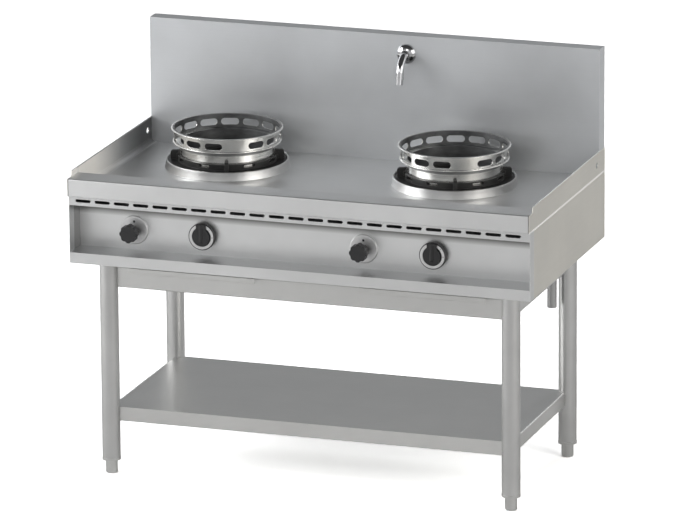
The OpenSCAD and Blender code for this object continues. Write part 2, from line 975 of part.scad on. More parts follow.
module jet_pipes() {
    outlet_z = knob_z + outlet_up;
    color("goldenrod")
        for (side = [-1, 1]) {
            x = burner_x(side);
            valve_x = half_x(side) + main_x;
            pipe([[valve_x, valve_y, outlet_z], [valve_x, valve_y, tube_z], [x, valve_y, tube_z],
                [x, jet_y + over, tube_z]], jet_pipe_r);
            rod_y(x, jet_y, jet_y + jet_len, tube_z, jet_r);
        }
}

module pilot_burners() {
    color("goldenrod")
        for (side = [-1, 1]) {
            x = half_x(side) + pilot_x;
            y = burner_y - pilot_back;
            tip_x = burner_x(side) - pilot_side;
            pipe([[x, valve_y, knob_z + outlet_up], [x, valve_y, pilot_z], [x, y, pilot_z],
                [tip_x, y, pilot_z], [tip_x, y, pilot_z + pilot_tip]], pilot_pipe_r);
            rod_z(tip_x, y, pilot_z + pilot_tip - 2 * pilot_tip_r, pilot_z + pilot_tip, pilot_tip_r);
        }
}

module burner_bridges() {
    mid = bridge_t / 2;
    low = base_z + sheet + mid;
    high = head_z - mid;
    color("dimgray")
        both_sides()
            along_y(-bridge_w / 2, bridge_w / 2)
                folded([[-bridge_half - bridge_foot, low], [-bridge_half, low], [-bridge_half, high],
                    [bridge_half, high], [bridge_half, low], [bridge_half + bridge_foot, low]],
                    [bend_r, bend_r, bend_r, bend_r], bridge_t);
}

// Gas

module gas_manifold() {
    start = half_x(-1) + pilot_x - manifold_end;
    turn = [inlet_x, manifold_y, knob_z];
    finish = [inlet_x, inlet_y - inlet_split, knob_z];
    color("darkgray")
        difference() {
            pipe([[start, manifold_y, knob_z], turn, finish], pipe_r);
            pipe([[start + pipe_wall, manifold_y, knob_z], turn, finish + [0, over, 0]], pipe_r - pipe_wall);
        }
}

module gas_inlet_pipe() {
    start = [inlet_x, inlet_y - inlet_split, knob_z];
    turn = [inlet_x, inlet_y, knob_z];
    finish = [inlet_x, inlet_y, inlet_z];
    color("darkgray")
        difference() {
            pipe([start, turn, finish], pipe_r);
            pipe([start - [0, over, 0], turn, finish - [0, 0, over]], pipe_r - pipe_wall);
        }
}

module valve(x, r) {
    back = panel_y + sheet;
    color("goldenrod")
        difference() {
            union() {
                rod_y(x, back, back + valve_collar, knob_z, collar_r * r / valve_r);
                rod_y(x, back, manifold_y - pipe_r - gap, knob_z, r);
                rod_y(x, back, manifold_y, knob_z, nipple_r);
                rod_z(x, valve_y, knob_z, knob_z + outlet_up, outlet_r * r / valve_r);
            }
            rod_y(x, back - over, panel_y + spindle_in + push_gap + over, knob_z, spindle_r + run);
            rod([x - 2 * r, manifold_y, knob_z], [x + 2 * r, manifold_y, knob_z], pipe_r + run);
        }
}

module main_valves() {
    for (side = [-1, 1])
        valve(half_x(side) + main_x, valve_r);
}

module pilot_valves() {
    for (side = [-1, 1])
        valve(half_x(side) + pilot_x, pilot_valve_r);
}

// Controls

module spindle(x, stand_off) {
    color("gray")
        rod_y(x, panel_y - stand_off - knob_bore + gap, panel_y + spindle_in, knob_z, spindle_r);
}

module pointer_outline(grow) {
    half = pointer_w / 2 + grow;
    circle(r = grip_r + grow, $fn = fine);
    intersection() {
        translate([-half, 0])
            square([2 * half, main_r]);
        circle(r = main_r - knob_edge, $fn = fine);
    }
}

module main_knob(side) {
    color([0.17, 0.17, 0.17])
        on_panel(half_x(side) + main_x, push_gap)
            difference() {
                union() {
                    difference() {
                        rotate_extrude($fn = fine)
                            polygon([[0, 0], [main_r - knob_edge, 0], [main_r, knob_edge],
                                [main_r, main_len - knob_edge], [main_r - knob_edge, main_len],
                                [0, main_len]]);
                        translate([0, 0, main_len - dial_sink])
                            dial_band(dial_in - run, dial_out + run, dial_sink + over);
                    }
                    translate([0, 0, main_len - dial_sink - run])
                        linear_extrude(grip_rise + dial_sink + run)
                            pointer_outline(0);
                }
                translate([0, 0, -over])
                    cylinder(h = knob_bore + over, r = spindle_r + run, $fn = coarse);
            }
}

module dial_band(inner, outer, height) {
    difference() {
        cylinder(h = height, r = outer, $fn = fine);
        translate([0, 0, -over])
            cylinder(h = height + 2 * over, r = inner, $fn = fine);
    }
}

module dial_ring(side) {
    color("lightgray")
        on_panel(half_x(side) + main_x, push_gap + main_len - dial_sink)
            difference() {
                dial_band(dial_in, dial_out, dial_t);
                translate([0, 0, -over])
                    linear_extrude(dial_t + 2 * over)
                        pointer_outline(seam);
            }
}

module pilot_knob(side) {
    grip_z = neck_len + neck_slope;
    color([0.17, 0.17, 0.17])
        on_panel(half_x(side) + pilot_x, bezel_t + push_gap)
            difference() {
                rotate_extrude($fn = fine)
                    polygon([[0, 0], [neck_r, 0], [neck_r, neck_len], [pilot_r, grip_z],
                        [pilot_r, pilot_len - knob_edge], [pilot_r - knob_edge, pilot_len], [0, pilot_len]]);
                for (i = [0 : flute_count - 1])
                    rotate([0, 0, (i + 0.5) * 360 / flute_count])
                        translate([flute_at, 0, neck_len - over])
                            cylinder(h = pilot_len, r = flute_r, $fn = coarse);
                translate([0, 0, -over])
                    cylinder(h = knob_bore + over, r = spindle_r + run, $fn = coarse);
            }
}

module pilot_bezels() {
    edge = [for (p = bezel_steps) [bezel_r - bezel_t * p[0], bezel_t * p[1]]];
    color("whitesmoke")
        for (side = [-1, 1])
            on_panel(half_x(side) + pilot_x, 0)
                difference() {
                    rotate_extrude($fn = fine)
                        polygon(concat([[spindle_hole, 0]], edge, [[spindle_hole, bezel_t]]));
                    translate([0, dot_at, bezel_t - over])
                        cylinder(h = 2 * over, r = dot_r, $fn = coarse);
                }
}

// Drip trays

module drip_tray(side) {
    x = half_x(side);
    top = tray_z + tray_h;
    low_lip = tray_z + sheet - lip_h;
    half_lip = lip_w / 2;
    color("silver") {
        difference() {
            block([x - tray_half, tray_wall_y, tray_z], [x + tray_half, tray_back_y, top]);
            block([x - tray_half + sheet, tray_wall_y + sheet, tray_z + sheet],
                [x + tray_half - sheet, tray_back_y - sheet, top + over]);
        }
        block([x - tray_half, lip_y, tray_z], [x + tray_half, tray_wall_y + over, tray_z + sheet]);
        block([x - half_lip, lip_y, low_lip], [x + half_lip, lip_y + sheet, tray_z + sheet]);
        rod([x - half_lip, lip_y + lip_bead, low_lip], [x + half_lip, lip_y + lip_bead, low_lip], lip_bead);
    }
}

module tray_runners() {
    y0 = leg_front_y + rail_t + seam;
    y1 = leg_back_y - rail_t - seam;
    color("darkgray")
        for (side = [-1, 1])
            for (edge = [-1, 1])
                translate([half_x(side), 0, 0])
                    mirror([edge < 0 ? 1 : 0, 0, 0]) {
                        block([runner_half - runner_foot, y0, stand_top],
                            [runner_half, y1, stand_top + sheet]);
                        block([runner_half - sheet, y0, stand_top], [runner_half, y1, base_z]);
                    }
}

leg(-leg_x, leg_front_y);  // leg_front_left
leg(leg_x, leg_front_y);  // leg_front_right
leg(-leg_x, leg_back_y);  // leg_rear_left
leg(leg_x, leg_back_y);  // leg_rear_right
leg_bushes();
foot(-leg_x, leg_front_y);  // foot_front_left
foot(leg_x, leg_front_y);  // foot_front_right
foot(-leg_x, leg_back_y);  // foot_rear_left
foot(leg_x, leg_back_y);  // foot_rear_right
stand_rail_x(leg_front_y, 1);  // stand_rail_front
stand_rail_x(leg_back_y, -1);  // stand_rail_rear
stand_rail_y(-1);  // stand_rail_left
stand_rail_y(1);  // stand_rail_right
undershelf();
side_panel(-1);  // side_panel_left
side_panel(1);  // side_panel_right
front_frame();
control_panel();
base_panel();
rear_panel();
panel_screws();
top_pan();
side_guard(-1);  // side_guard_left
side_guard(1);  // side_guard_right
backsplash();
tap_rosette();
tap_spout();
tap_nozzle();
tap_lock_nut();
trim_ring(-1);  // trim_ring_left
trim_ring(1);  // trim_ring_right
cast_ring(-1);  // cast_ring_left
cast_ring(1);  // cast_ring_right
wok_ring(-1);  // wok_ring_left
wok_ring(1);  // wok_ring_right
burner_head(-1);  // burner_head_left
burner_head(1);  // burner_head_right
mixing_tube(-1);  // mixing_tube_left
mixing_tube(1);  // mixing_tube_right
jet_pipes();
pilot_burners();
burner_bridges();
gas_manifold();
gas_inlet_pipe();
main_valves();
pilot_valves();
spindle(half_x(-1) + main_x, push_gap);  // main_spindle_left
spindle(half_x(1) + main_x, push_gap);  // main_spindle_right
spindle(half_x(-1) + pilot_x, bezel_t + push_gap);  // pilot_spindle_left
spindle(half_x(1) + pilot_x, bezel_t + push_gap);  // pilot_spindle_right
main_knob(-1);  // main_knob_left
main_knob(1);  // main_knob_right
dial_ring(-1);  // dial_ring_left
dial_ring(1);  // dial_ring_right
pilot_knob(-1);  // pilot_knob_left
pilot_knob(1);  // pilot_knob_right
pilot_bezels();
drip_tray(-1);  // drip_tray_left
drip_tray(1);  // drip_tray_right
tray_runners();
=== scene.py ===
# %% [markdown]
# A two-burner wok range in satin stainless steel: a sunken worktop with two ring burners, a
# backsplash with a water tap, a recessed panel with knobs, drip trays, and a tubular stand with a
# lower shelf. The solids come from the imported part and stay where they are. This lesson gives every
# one of them a finish, adds the fine folded and rolled edges that catch the light, and sets up the
# studio and the camera.

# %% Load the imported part
import bmesh
import bpy
import numpy as np
from mathutils import Matrix, Vector


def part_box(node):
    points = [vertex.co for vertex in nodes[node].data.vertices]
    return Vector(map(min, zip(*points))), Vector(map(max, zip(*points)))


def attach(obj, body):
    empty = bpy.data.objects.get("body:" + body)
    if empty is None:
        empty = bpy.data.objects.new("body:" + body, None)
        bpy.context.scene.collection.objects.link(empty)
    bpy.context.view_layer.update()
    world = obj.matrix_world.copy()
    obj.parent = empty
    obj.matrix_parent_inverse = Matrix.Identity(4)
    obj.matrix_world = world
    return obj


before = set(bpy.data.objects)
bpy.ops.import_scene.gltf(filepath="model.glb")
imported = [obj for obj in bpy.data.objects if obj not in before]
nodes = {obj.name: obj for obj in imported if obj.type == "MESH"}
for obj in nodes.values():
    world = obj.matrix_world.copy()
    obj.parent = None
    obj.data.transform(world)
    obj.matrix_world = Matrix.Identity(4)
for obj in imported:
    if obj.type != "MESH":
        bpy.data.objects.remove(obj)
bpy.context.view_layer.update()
scene = bpy.context.scene


def low_corner(name):
    """The corner of a solid's box with the smallest X, Y and Z, in metres."""
    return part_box(name)[0]


def high_corner(name):
    """The corner of a solid's box with the largest X, Y and Z, in metres."""
    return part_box(name)[1]


def middle_of(name):
    """The middle of a solid's box."""
    return (low_corner(name) + high_corner(name)) / 2


# %% [markdown]
# Real sheet metal is never one even grey. The rolling mill leaves long fine lines, hands leave a
# cloudy film, and folded edges are rubbed bright. A finish is therefore a small node tree: a helper
# makes the nodes, and each material below says in its own words which of them it needs.

# %% Helpers that build a node tree
def add_node(tree, kind, **settings):
    """Makes one node; settings named after sockets become their values, the rest are properties."""
    node = tree.nodes.new(kind)
    for key, value in settings.items():
        socket = next((s for s in node.inputs if s.name.replace(" ", "_").lower() == key), None)
        if socket is not None:
            socket.default_value = value
        else:
            setattr(node, key, value)
    return node


def start_material(name, **sockets):
    """A material with an output and a Principled shader whose constant values sit on its own sockets."""
    material = bpy.data.materials.new(name)
    material.use_nodes = True
    tree = material.node_tree
    tree.nodes.clear()
    output = add_node(tree, "ShaderNodeOutputMaterial")
    shader = add_node(tree, "ShaderNodeBsdfPrincipled")
    for key, value in sockets.items():
        shader.inputs[key].default_value = value
    tree.links.new(shader.outputs["BSDF"], output.inputs["Surface"])
    return material, tree, shader


def remap(tree, value, low, high, to_low, to_high):
    """Carries a value from one range to another, clamped."""
    node = add_node(tree, "ShaderNodeMapRange", from_min=low, from_max=high, to_min=to_low, to_max=to_high)
    tree.links.new(value, node.inputs["Value"])
    return node.outputs["Result"]


def joined(tree, operation, first, *others):
    """Math nodes in a row: each takes the result so far and the next socket."""
    for other in others:
        node = add_node(tree, "ShaderNodeMath", operation=operation)
        tree.links.new(first, node.inputs[0])
        tree.links.new(other, node.inputs[1])
        first = node.outputs["Value"]
    return first


def absolute(tree, value):
    """The value without its sign, so that left and right are treated alike."""
    node = add_node(tree, "ShaderNodeMath", operation="ABSOLUTE")
    tree.links.new(value, node.inputs[0])
    return node.outputs["Value"]


def blend_colours(tree, factor, first, second):
    """Mixes two colours by a factor that comes from the pattern."""
    node = add_node(tree, "ShaderNodeMix", data_type="RGBA")
    colour_in = [s for s in node.inputs if s.type == "RGBA"]
    for socket, colour in zip(colour_in, (first, second)):
        if hasattr(colour, "is_linked"):
            tree.links.new(colour, socket)
        else:
            socket.default_value = (*colour, 1.0)
    tree.links.new(factor, node.inputs[0])
    return next(s for s in node.outputs if s.type == "RGBA")


def tinted(colour, factor):
    """The same colour, darker or lighter by a factor."""
    return tuple(min(1.0, factor * c) for c in colour)


print("tree helpers ready")

# %% [markdown]
# A pattern has to stay on its piece when the piece moves, so every pattern here is read in object
# coordinates. A mask is a number from 0 to 1 at each point, such as how near it is to an edge or
# how far its face looks up. Laying a colour over a finish by such a mask puts dirt, soot and wear,
# and also painted light and shade, where they belong.

# %% Helpers for patterns and masks
NOISE_SPAN = (0.3, 0.7)
FINE_SPAN = (0.25, 0.75)
BEVEL_SAMPLES = 4
WORN_FULL, WORN_NONE = 0.86, 0.999


def noise_on_object(tree, scale_xyz, detail=3.0, roughness=0.55):
    """Noise in object coordinates, with a scale for each axis: a small scale stretches it."""
    coords = add_node(tree, "ShaderNodeTexCoord")
    place = add_node(tree, "ShaderNodeMapping", scale=scale_xyz)
    noise = add_node(tree, "ShaderNodeTexNoise", scale=1.0, detail=detail, roughness=roughness)
    tree.links.new(coords.outputs["Object"], place.inputs["Vector"])
    tree.links.new(place.outputs["Vector"], noise.inputs["Vector"])
    return noise.outputs["Fac"]


def spread(tree, noise, to_low, to_high):
    """Carries the middle of a noise, where most of its values lie, to a range."""
    return remap(tree, noise, *NOISE_SPAN, to_low, to_high)


def object_axes(tree):
    """The point's own X, Y and Z in the frame of the part."""
    coords = add_node(tree, "ShaderNodeTexCoord")
    axes = add_node(tree, "ShaderNodeSeparateXYZ")
    tree.links.new(coords.outputs["Object"], axes.inputs["Vector"])
    return axes.outputs


def face_axes(tree, normal="True Normal"):
    """X, Y and Z of the direction that the face looks in."""
    face = add_node(tree, "ShaderNodeNewGeometry")
    axes = add_node(tree, "ShaderNodeSeparateXYZ")
    tree.links.new(face.outputs[normal], axes.inputs["Vector"])
    return axes.outputs


def edge_mask(tree, radius):
    """1 on a sharp edge and 0 on a flat: how far the rounded normal turns away from the plain one."""
    rounded = add_node(tree, "ShaderNodeBevel", radius=radius, samples=BEVEL_SAMPLES)
    face = add_node(tree, "ShaderNodeNewGeometry")
    dot = add_node(tree, "ShaderNodeVectorMath", operation="DOT_PRODUCT")
    tree.links.new(rounded.outputs["Normal"], dot.inputs[0])
    tree.links.new(face.outputs["Normal"], dot.inputs[1])
    return remap(tree, dot.outputs["Value"], WORN_FULL, WORN_NONE, 1.0, 0.0)


def bump_from(tree, height, distance, strength, rounded_by=None):
    """A bump normal from a height, on top of edges rounded by a small radius where one is given."""
    bump = add_node(tree, "ShaderNodeBump", distance=distance, strength=strength)
    tree.links.new(height, bump.inputs["Height"])
    if rounded_by:
        rounded = add_node(tree, "ShaderNodeBevel", radius=rounded_by, samples=BEVEL_SAMPLES)
        tree.links.new(rounded.outputs["Normal"], bump.inputs["Normal"])
    return bump.outputs["Normal"]


def laid_over(material, mask, colour, rougher=0.0):
    """Covers a finished material with a colour or pattern where the mask is 1, and makes it rougher."""
    tree = material.node_tree
    shader = next(n for n in tree.nodes if n.type == "BSDF_PRINCIPLED")
    bare = shader.inputs["Base Color"].links[0].from_socket
    tree.links.new(blend_colours(tree, mask, bare, colour), shader.inputs["Base Color"])
    if rougher:
        smooth = shader.inputs["Roughness"].links[0].from_socket
        added = remap(tree, mask, 0.0, 1.0, 0.0, rougher)
        tree.links.new(joined(tree, "ADD", smooth, added), shader.inputs["Roughness"])


print("pattern helpers ready")

# %% [markdown]
# Satin stainless sheet is the main finish. It is polished with a belt in one direction, so its fine
# lines run along the sheet, and reflections smear across them. An image of brushed metal would
# repeat and stretch, so the lines are noise squeezed hard across the belt's direction and stretched
# along it. A second, cloudy noise varies the gloss as wiping does, and the folded edges get a small
# rounding, a little brighter and smoother than the flats.

# %% Satin stainless steel
LINE_ALONG = 2.2
LINE_ACROSS = 900.0
LINE_DEPTH = 0.00003
EDGE_GLOSS = -0.08
SATIN_DARK, SATIN_LIGHT, SATIN_EDGE = 0.93, 1.06, 1.22


def satin_steel(name, colour, rough, along, edge=0.0012, cloud=3.0):
    """Belt-polished steel; along is 0, 1 or 2 for lines that run in X, Y or Z."""
    material, tree, shader = start_material(name, Metallic=1.0, IOR=2.2)
    scale = [LINE_ACROSS] * 3
    scale[along] = LINE_ALONG
    lines = noise_on_object(tree, scale, detail=2.0)
    wiped = noise_on_object(tree, [cloud] * 3, detail=4.0)
    worn = edge_mask(tree, 2.2 * edge)
    dark, light, bright = (tinted(colour, k) for k in (SATIN_DARK, SATIN_LIGHT, SATIN_EDGE))
    cloudy = blend_colours(tree, spread(tree, wiped, 0.0, 1.0), dark, light)
    tree.links.new(blend_colours(tree, worn, cloudy, bright), shader.inputs["Base Color"])
    brushed = remap(tree, lines, *FINE_SPAN, rough - 0.05, rough + 0.05)
    smoother = remap(tree, worn, 0.0, 1.0, 0.0, EDGE_GLOSS)
    tree.links.new(joined(tree, "ADD", brushed, spread(tree, wiped, -0.03, 0.03), smoother),
                   shader.inputs["Roughness"])
    tree.links.new(bump_from(tree, lines, LINE_DEPTH, 0.35, edge), shader.inputs["Normal"])
    return material


print("satin steel ready")

# %% [markdown]
# A kitchen leaves its marks where things are used: open joints fill with dirt. The other marks
# here are painted light and shade: painted shade on ledges that look up, at the top of the panel
# under the strip and on the inner faces of the side panels, a painted highlight in a band beside
# the sealed joints, and on the walls beside the burners a pale painted highlight in front and a
# painted shade at the rear. Each mark is a mask from the place of the point and the direction of
# its face.

# %% Dirt, painted shade and painted highlights on the sheets
JOINT_DIRT, JOINT_FADE_X, JOINT_FADE_Y = (0.06, 0.06, 0.06), 0.0006, 0.003
FACES_IN, LEANS_IN = (-0.3, -0.2), (-0.4, -0.02)
FACES_UP = (0.8, 0.95)
WALL_HIGHLIGHT, HIGHLIGHT_Y, HIGHLIGHT_ROUGH = (1.0, 0.985, 0.955), (-0.15, 0.12), 0.45
WALL_SHADE, SHADE_Y = (0.20, 0.20, 0.20), (0.04, 0.22)
HIGHLIGHT_FADE, WALL_FADE = 0.0008, 0.001


def dark_joint(material, x_from, y_front):
    """Dirt in an open joint on the front: dark where |x| is beyond x_from and y is in front of y_front."""
    tree = material.node_tree
    axes = object_axes(tree)
    beyond = remap(tree, absolute(tree, axes["X"]), x_from, x_from + JOINT_FADE_X, 0.0, 1.0)
    in_front = remap(tree, axes["Y"], y_front, y_front - JOINT_FADE_Y, 0.0, 1.0)
    laid_over(material, joined(tree, "MULTIPLY", beyond, in_front), JOINT_DIRT)


def shade_inside(material, colour):
    """Painted shade on the inner faces of the side panels, whose normals point to the middle."""
    tree = material.node_tree
    inward = joined(tree, "MULTIPLY", face_axes(tree)["X"], object_axes(tree)["X"])
    laid_over(material, remap(tree, inward, *FACES_IN, 1.0, 0.0), colour)


def highlight_band(material, z_from, z_to, colour):
    """A painted highlight: a narrow band between two heights, brighter than the sheet, beside a sealed
    joint.
    """
    tree = material.node_tree
    height = object_axes(tree)["Z"]
    above = remap(tree, height, z_from, z_from + HIGHLIGHT_FADE, 0.0, 1.0)
    below = remap(tree, height, z_to - HIGHLIGHT_FADE, z_to, 1.0, 0.0)
    laid_over(material, joined(tree, "MULTIPLY", above, below), colour)


def shade_under_overhang(material, z_unshaded, z_dark, colour):
    """Painted shade under an overhanging strip: the colour darkens from the lower given height up to the
    higher one.
    """
    tree = material.node_tree
    laid_over(material, remap(tree, object_axes(tree)["Z"], z_unshaded, z_dark, 0.0, 1.0), colour)


def shade_on_up_faces(material, colour):
    """Painted shade: darker on the faces that look straight up, such as the ledge under the control panel.
    """
    tree = material.node_tree
    laid_over(material, remap(tree, face_axes(tree)["Z"], *FACES_UP, 0.0, 1.0), colour)


def wall_highlight_and_shade(material, z_from):
    """Walls above z_from that face the middle: a pale, matt painted highlight in front and a painted shade
    at the rear.
    """
    tree = material.node_tree
    axes = object_axes(tree)
    inward = joined(tree, "MULTIPLY", face_axes(tree)["X"], axes["X"])
    above = remap(tree, axes["Z"], z_from, z_from + WALL_FADE, 0.0, 1.0)
    on_wall = joined(tree, "MULTIPLY", remap(tree, inward, *LEANS_IN, 1.0, 0.0), above)
    at_front = joined(tree, "MULTIPLY", on_wall, remap(tree, axes["Y"], *HIGHLIGHT_Y, 1.0, 0.0))
    at_rear = joined(tree, "MULTIPLY", on_wall, remap(tree, axes["Y"], *SHADE_Y, 0.0, 1.0))
    laid_over(material, at_front, WALL_HIGHLIGHT, rougher=HIGHLIGHT_ROUGH)
    laid_over(material, at_rear, WALL_SHADE)


print("wear and dirt ready")

# %% [markdown]
# Each group of sheets now gets its own steel. Their colours are painted light and shade on one
# steel, lighter or darker by the way each group faces: the sides are warmer, the backsplash is
# cooler, and the legs are darker. Their gloss differs a little, as in sheets cut from different rolls.

# %% The satin sheets
STEEL = (0.66, 0.665, 0.665)
STAND = (0.60, 0.60, 0.59)
SHEET = 0.0015
JOINT_SHEETS, JOINT_DEPTH = 1.2, 0.014
STRIP_H = 0.025
STRIP_SHADE_START, STRIP_SHADE_FULL = 0.042, 0.024
HIGHLIGHT_BELOW, HIGHLIGHT_ABOVE = 0.0016, 0.0046
GUARD_FOOT = 0.005
floor_z = low_corner("trim_ring_left").z
wall_foot_z = floor_z - WALL_FADE
front_y = low_corner("top_pan").y
pan_end_x = high_corner("top_pan").x
strip_low_z = high_corner("front_frame").z - STRIP_H
side_top_z = high_corner("side_panel_right").z

worktop_steel = satin_steel("worktop_satin_steel", (0.695, 0.70, 0.70), 0.42, along=0)
# Painted highlight at the front and painted shade at the rear of the well's side walls.
wall_highlight_and_shade(worktop_steel, wall_foot_z)
dark_joint(worktop_steel, pan_end_x - JOINT_SHEETS * SHEET, front_y + JOINT_DEPTH)
splash_steel = satin_steel("backsplash_satin_steel", (0.64, 0.655, 0.672), 0.48, along=0)
cabinet_steel = satin_steel("cabinet_satin_steel", STEEL, 0.36, along=0)
# Painted shade on the faces of the cabinet steel that look straight up.
shade_on_up_faces(cabinet_steel, (0.475, 0.48, 0.485))
panel_steel = satin_steel("control_panel_steel", (0.72, 0.725, 0.725), 0.38, along=0)
# Painted shade at the top of the control panel, under the vent strip.
shade_under_overhang(panel_steel, strip_low_z - STRIP_SHADE_START, strip_low_z - STRIP_SHADE_FULL, (0.20, 0.20, 0.195))
side_steel = satin_steel("side_satin_steel", (0.68, 0.662, 0.61), 0.36, along=1)
# Painted highlight in a narrow band along the joint at the top of the side panels.
highlight_band(side_steel, side_top_z - HIGHLIGHT_BELOW, side_top_z + HIGHLIGHT_ABOVE, (1.0, 0.99, 0.96))
# Painted shade on the inner faces of the side panels.
shade_inside(side_steel, (0.40, 0.40, 0.395))
# Painted highlight at the front and painted shade at the rear of the guards' inner walls.
wall_highlight_and_shade(side_steel, side_top_z + GUARD_FOOT)
stand_steel = satin_steel("stand_satin_steel", STAND, 0.36, along=0)
stand_side_steel = satin_steel("stand_side_satin_steel", STAND, 0.36, along=1)
tray_steel = satin_steel("tray_satin_steel", STAND, 0.38, along=0)
tube_steel = satin_steel("leg_tube_steel", (0.53, 0.53, 0.525), 0.34, along=2, cloud=6.0)
bridge_steel = satin_steel("bridge_mill_steel", (0.40, 0.40, 0.40), 0.46, along=0, cloud=9.0)
print("satin sheets ready")

# %% [markdown]
# Turned and rolled pieces show rings instead of straight lines: the feet, bushes and screws come
# off a lathe, and the wok rings are rolled bands polished on the outside. Their lines follow the
# height on the piece, because the tool went round while the piece turned.

# %% Turned, rolled and plated steel
ROUND_THE_PIECE = 0.01
TURNED_DARK, TURNED_LIGHT, TURNED_EDGE = 0.90, 1.07, 1.2


def turned_steel(name, colour, rough, ring_axis, ring_scale=700.0, edge=0.0008, film=8.0, depth=0.00004):
    """Steel with tool rings: noise that changes only along the turning axis (0, 1 or 2)."""
    material, tree, shader = start_material(name, Metallic=1.0, IOR=2.2)
    scale = [ROUND_THE_PIECE] * 3
    scale[ring_axis] = ring_scale
    rings = noise_on_object(tree, scale, detail=2.0)
    smear = noise_on_object(tree, [film] * 3, detail=4.0)
    worn = edge_mask(tree, 2.0 * edge)
    dark, light, bright = (tinted(colour, k) for k in (TURNED_DARK, TURNED_LIGHT, TURNED_EDGE))
    cloudy = blend_colours(tree, spread(tree, smear, 0.0, 1.0), dark, light)
    tree.links.new(blend_colours(tree, worn, cloudy, bright), shader.inputs["Base Color"])
    tooled = remap(tree, rings, *FINE_SPAN, rough - 0.04, rough + 0.04)
    smeared = spread(tree, smear, -0.03, 0.04)
    tree.links.new(joined(tree, "ADD", tooled, smeared), shader.inputs["Roughness"])
    tree.links.new(bump_from(tree, rings, depth, 0.3, edge), shader.inputs["Normal"])
    return material


foot_steel = turned_steel("foot_turned_steel", (0.58, 0.58, 0.57), 0.32, ring_axis=2)
bush_steel = turned_steel("bush_turned_steel", (0.55, 0.55, 0.54), 0.34, ring_axis=2)
trim_steel = turned_steel("trim_polished_steel", (0.66, 0.66, 0.655), 0.36, ring_axis=2, ring_scale=300.0)
screw_steel = turned_steel("screw_steel", (0.50, 0.50, 0.50), 0.35, ring_axis=1)
spindle_steel = turned_steel("spindle_ground_steel", (0.55, 0.55, 0.55), 0.28, ring_axis=1)
tap_chrome = turned_steel("tap_chrome_plate", (0.54, 0.54, 0.55), 0.06, ring_axis=2, ring_scale=60.0,
                          depth=0.000004)
gas_brass = turned_steel("gas_fitting_brass", (0.58, 0.42, 0.17), 0.33, ring_axis=1, ring_scale=450.0)
nut_brass = turned_steel("lock_nut_brass", (0.60, 0.44, 0.19), 0.36, ring_axis=1, ring_scale=450.0)
pipe_steel = turned_steel("gas_pipe_steel", (0.36, 0.36, 0.36), 0.44, ring_axis=0, ring_scale=40.0,
                          film=14.0)
print("turned steels ready")

# %% [markdown]
# The flame plays inside the wok rings, so soot settles on the inner wall, on the step between the
# two diameters and on the inner half of the lip. The groove below the band and the rear of the lip
# are darkened with the same colour as painted shade. The outside stays polished.

# %% Soot and painted shade on the wok rings
BAND_H = 0.041
STEP_ENDS, LIP_STARTS = (0.005, 0.008), (0.02, 0.03)
GROOVE_STARTS, GROOVE_ENDS = (-0.0135, -0.0105), (0.0005, 0.0015)
LIP_SOOTY, LIP_CLEAN = 0.0046, 0.0040
TOP_FACE, INNER_FACE = (0.3, 0.7), (-0.5, 0.0)
TO_THE_SIDES, TO_THE_REAR = (0.55, 0.9), (0.2, 0.7)
SIDE_SOOT, LIP_SOOT, REAR_LIP_SHADE, GROOVE_SHADE = 0.1, 0.85, 0.8, 0.85
SOOT_SHADE_DARK, SOOT_SHADE_PALE, SOOT_ROUGH = (0.112, 0.114, 0.115), (0.20, 0.204, 0.206), 0.30


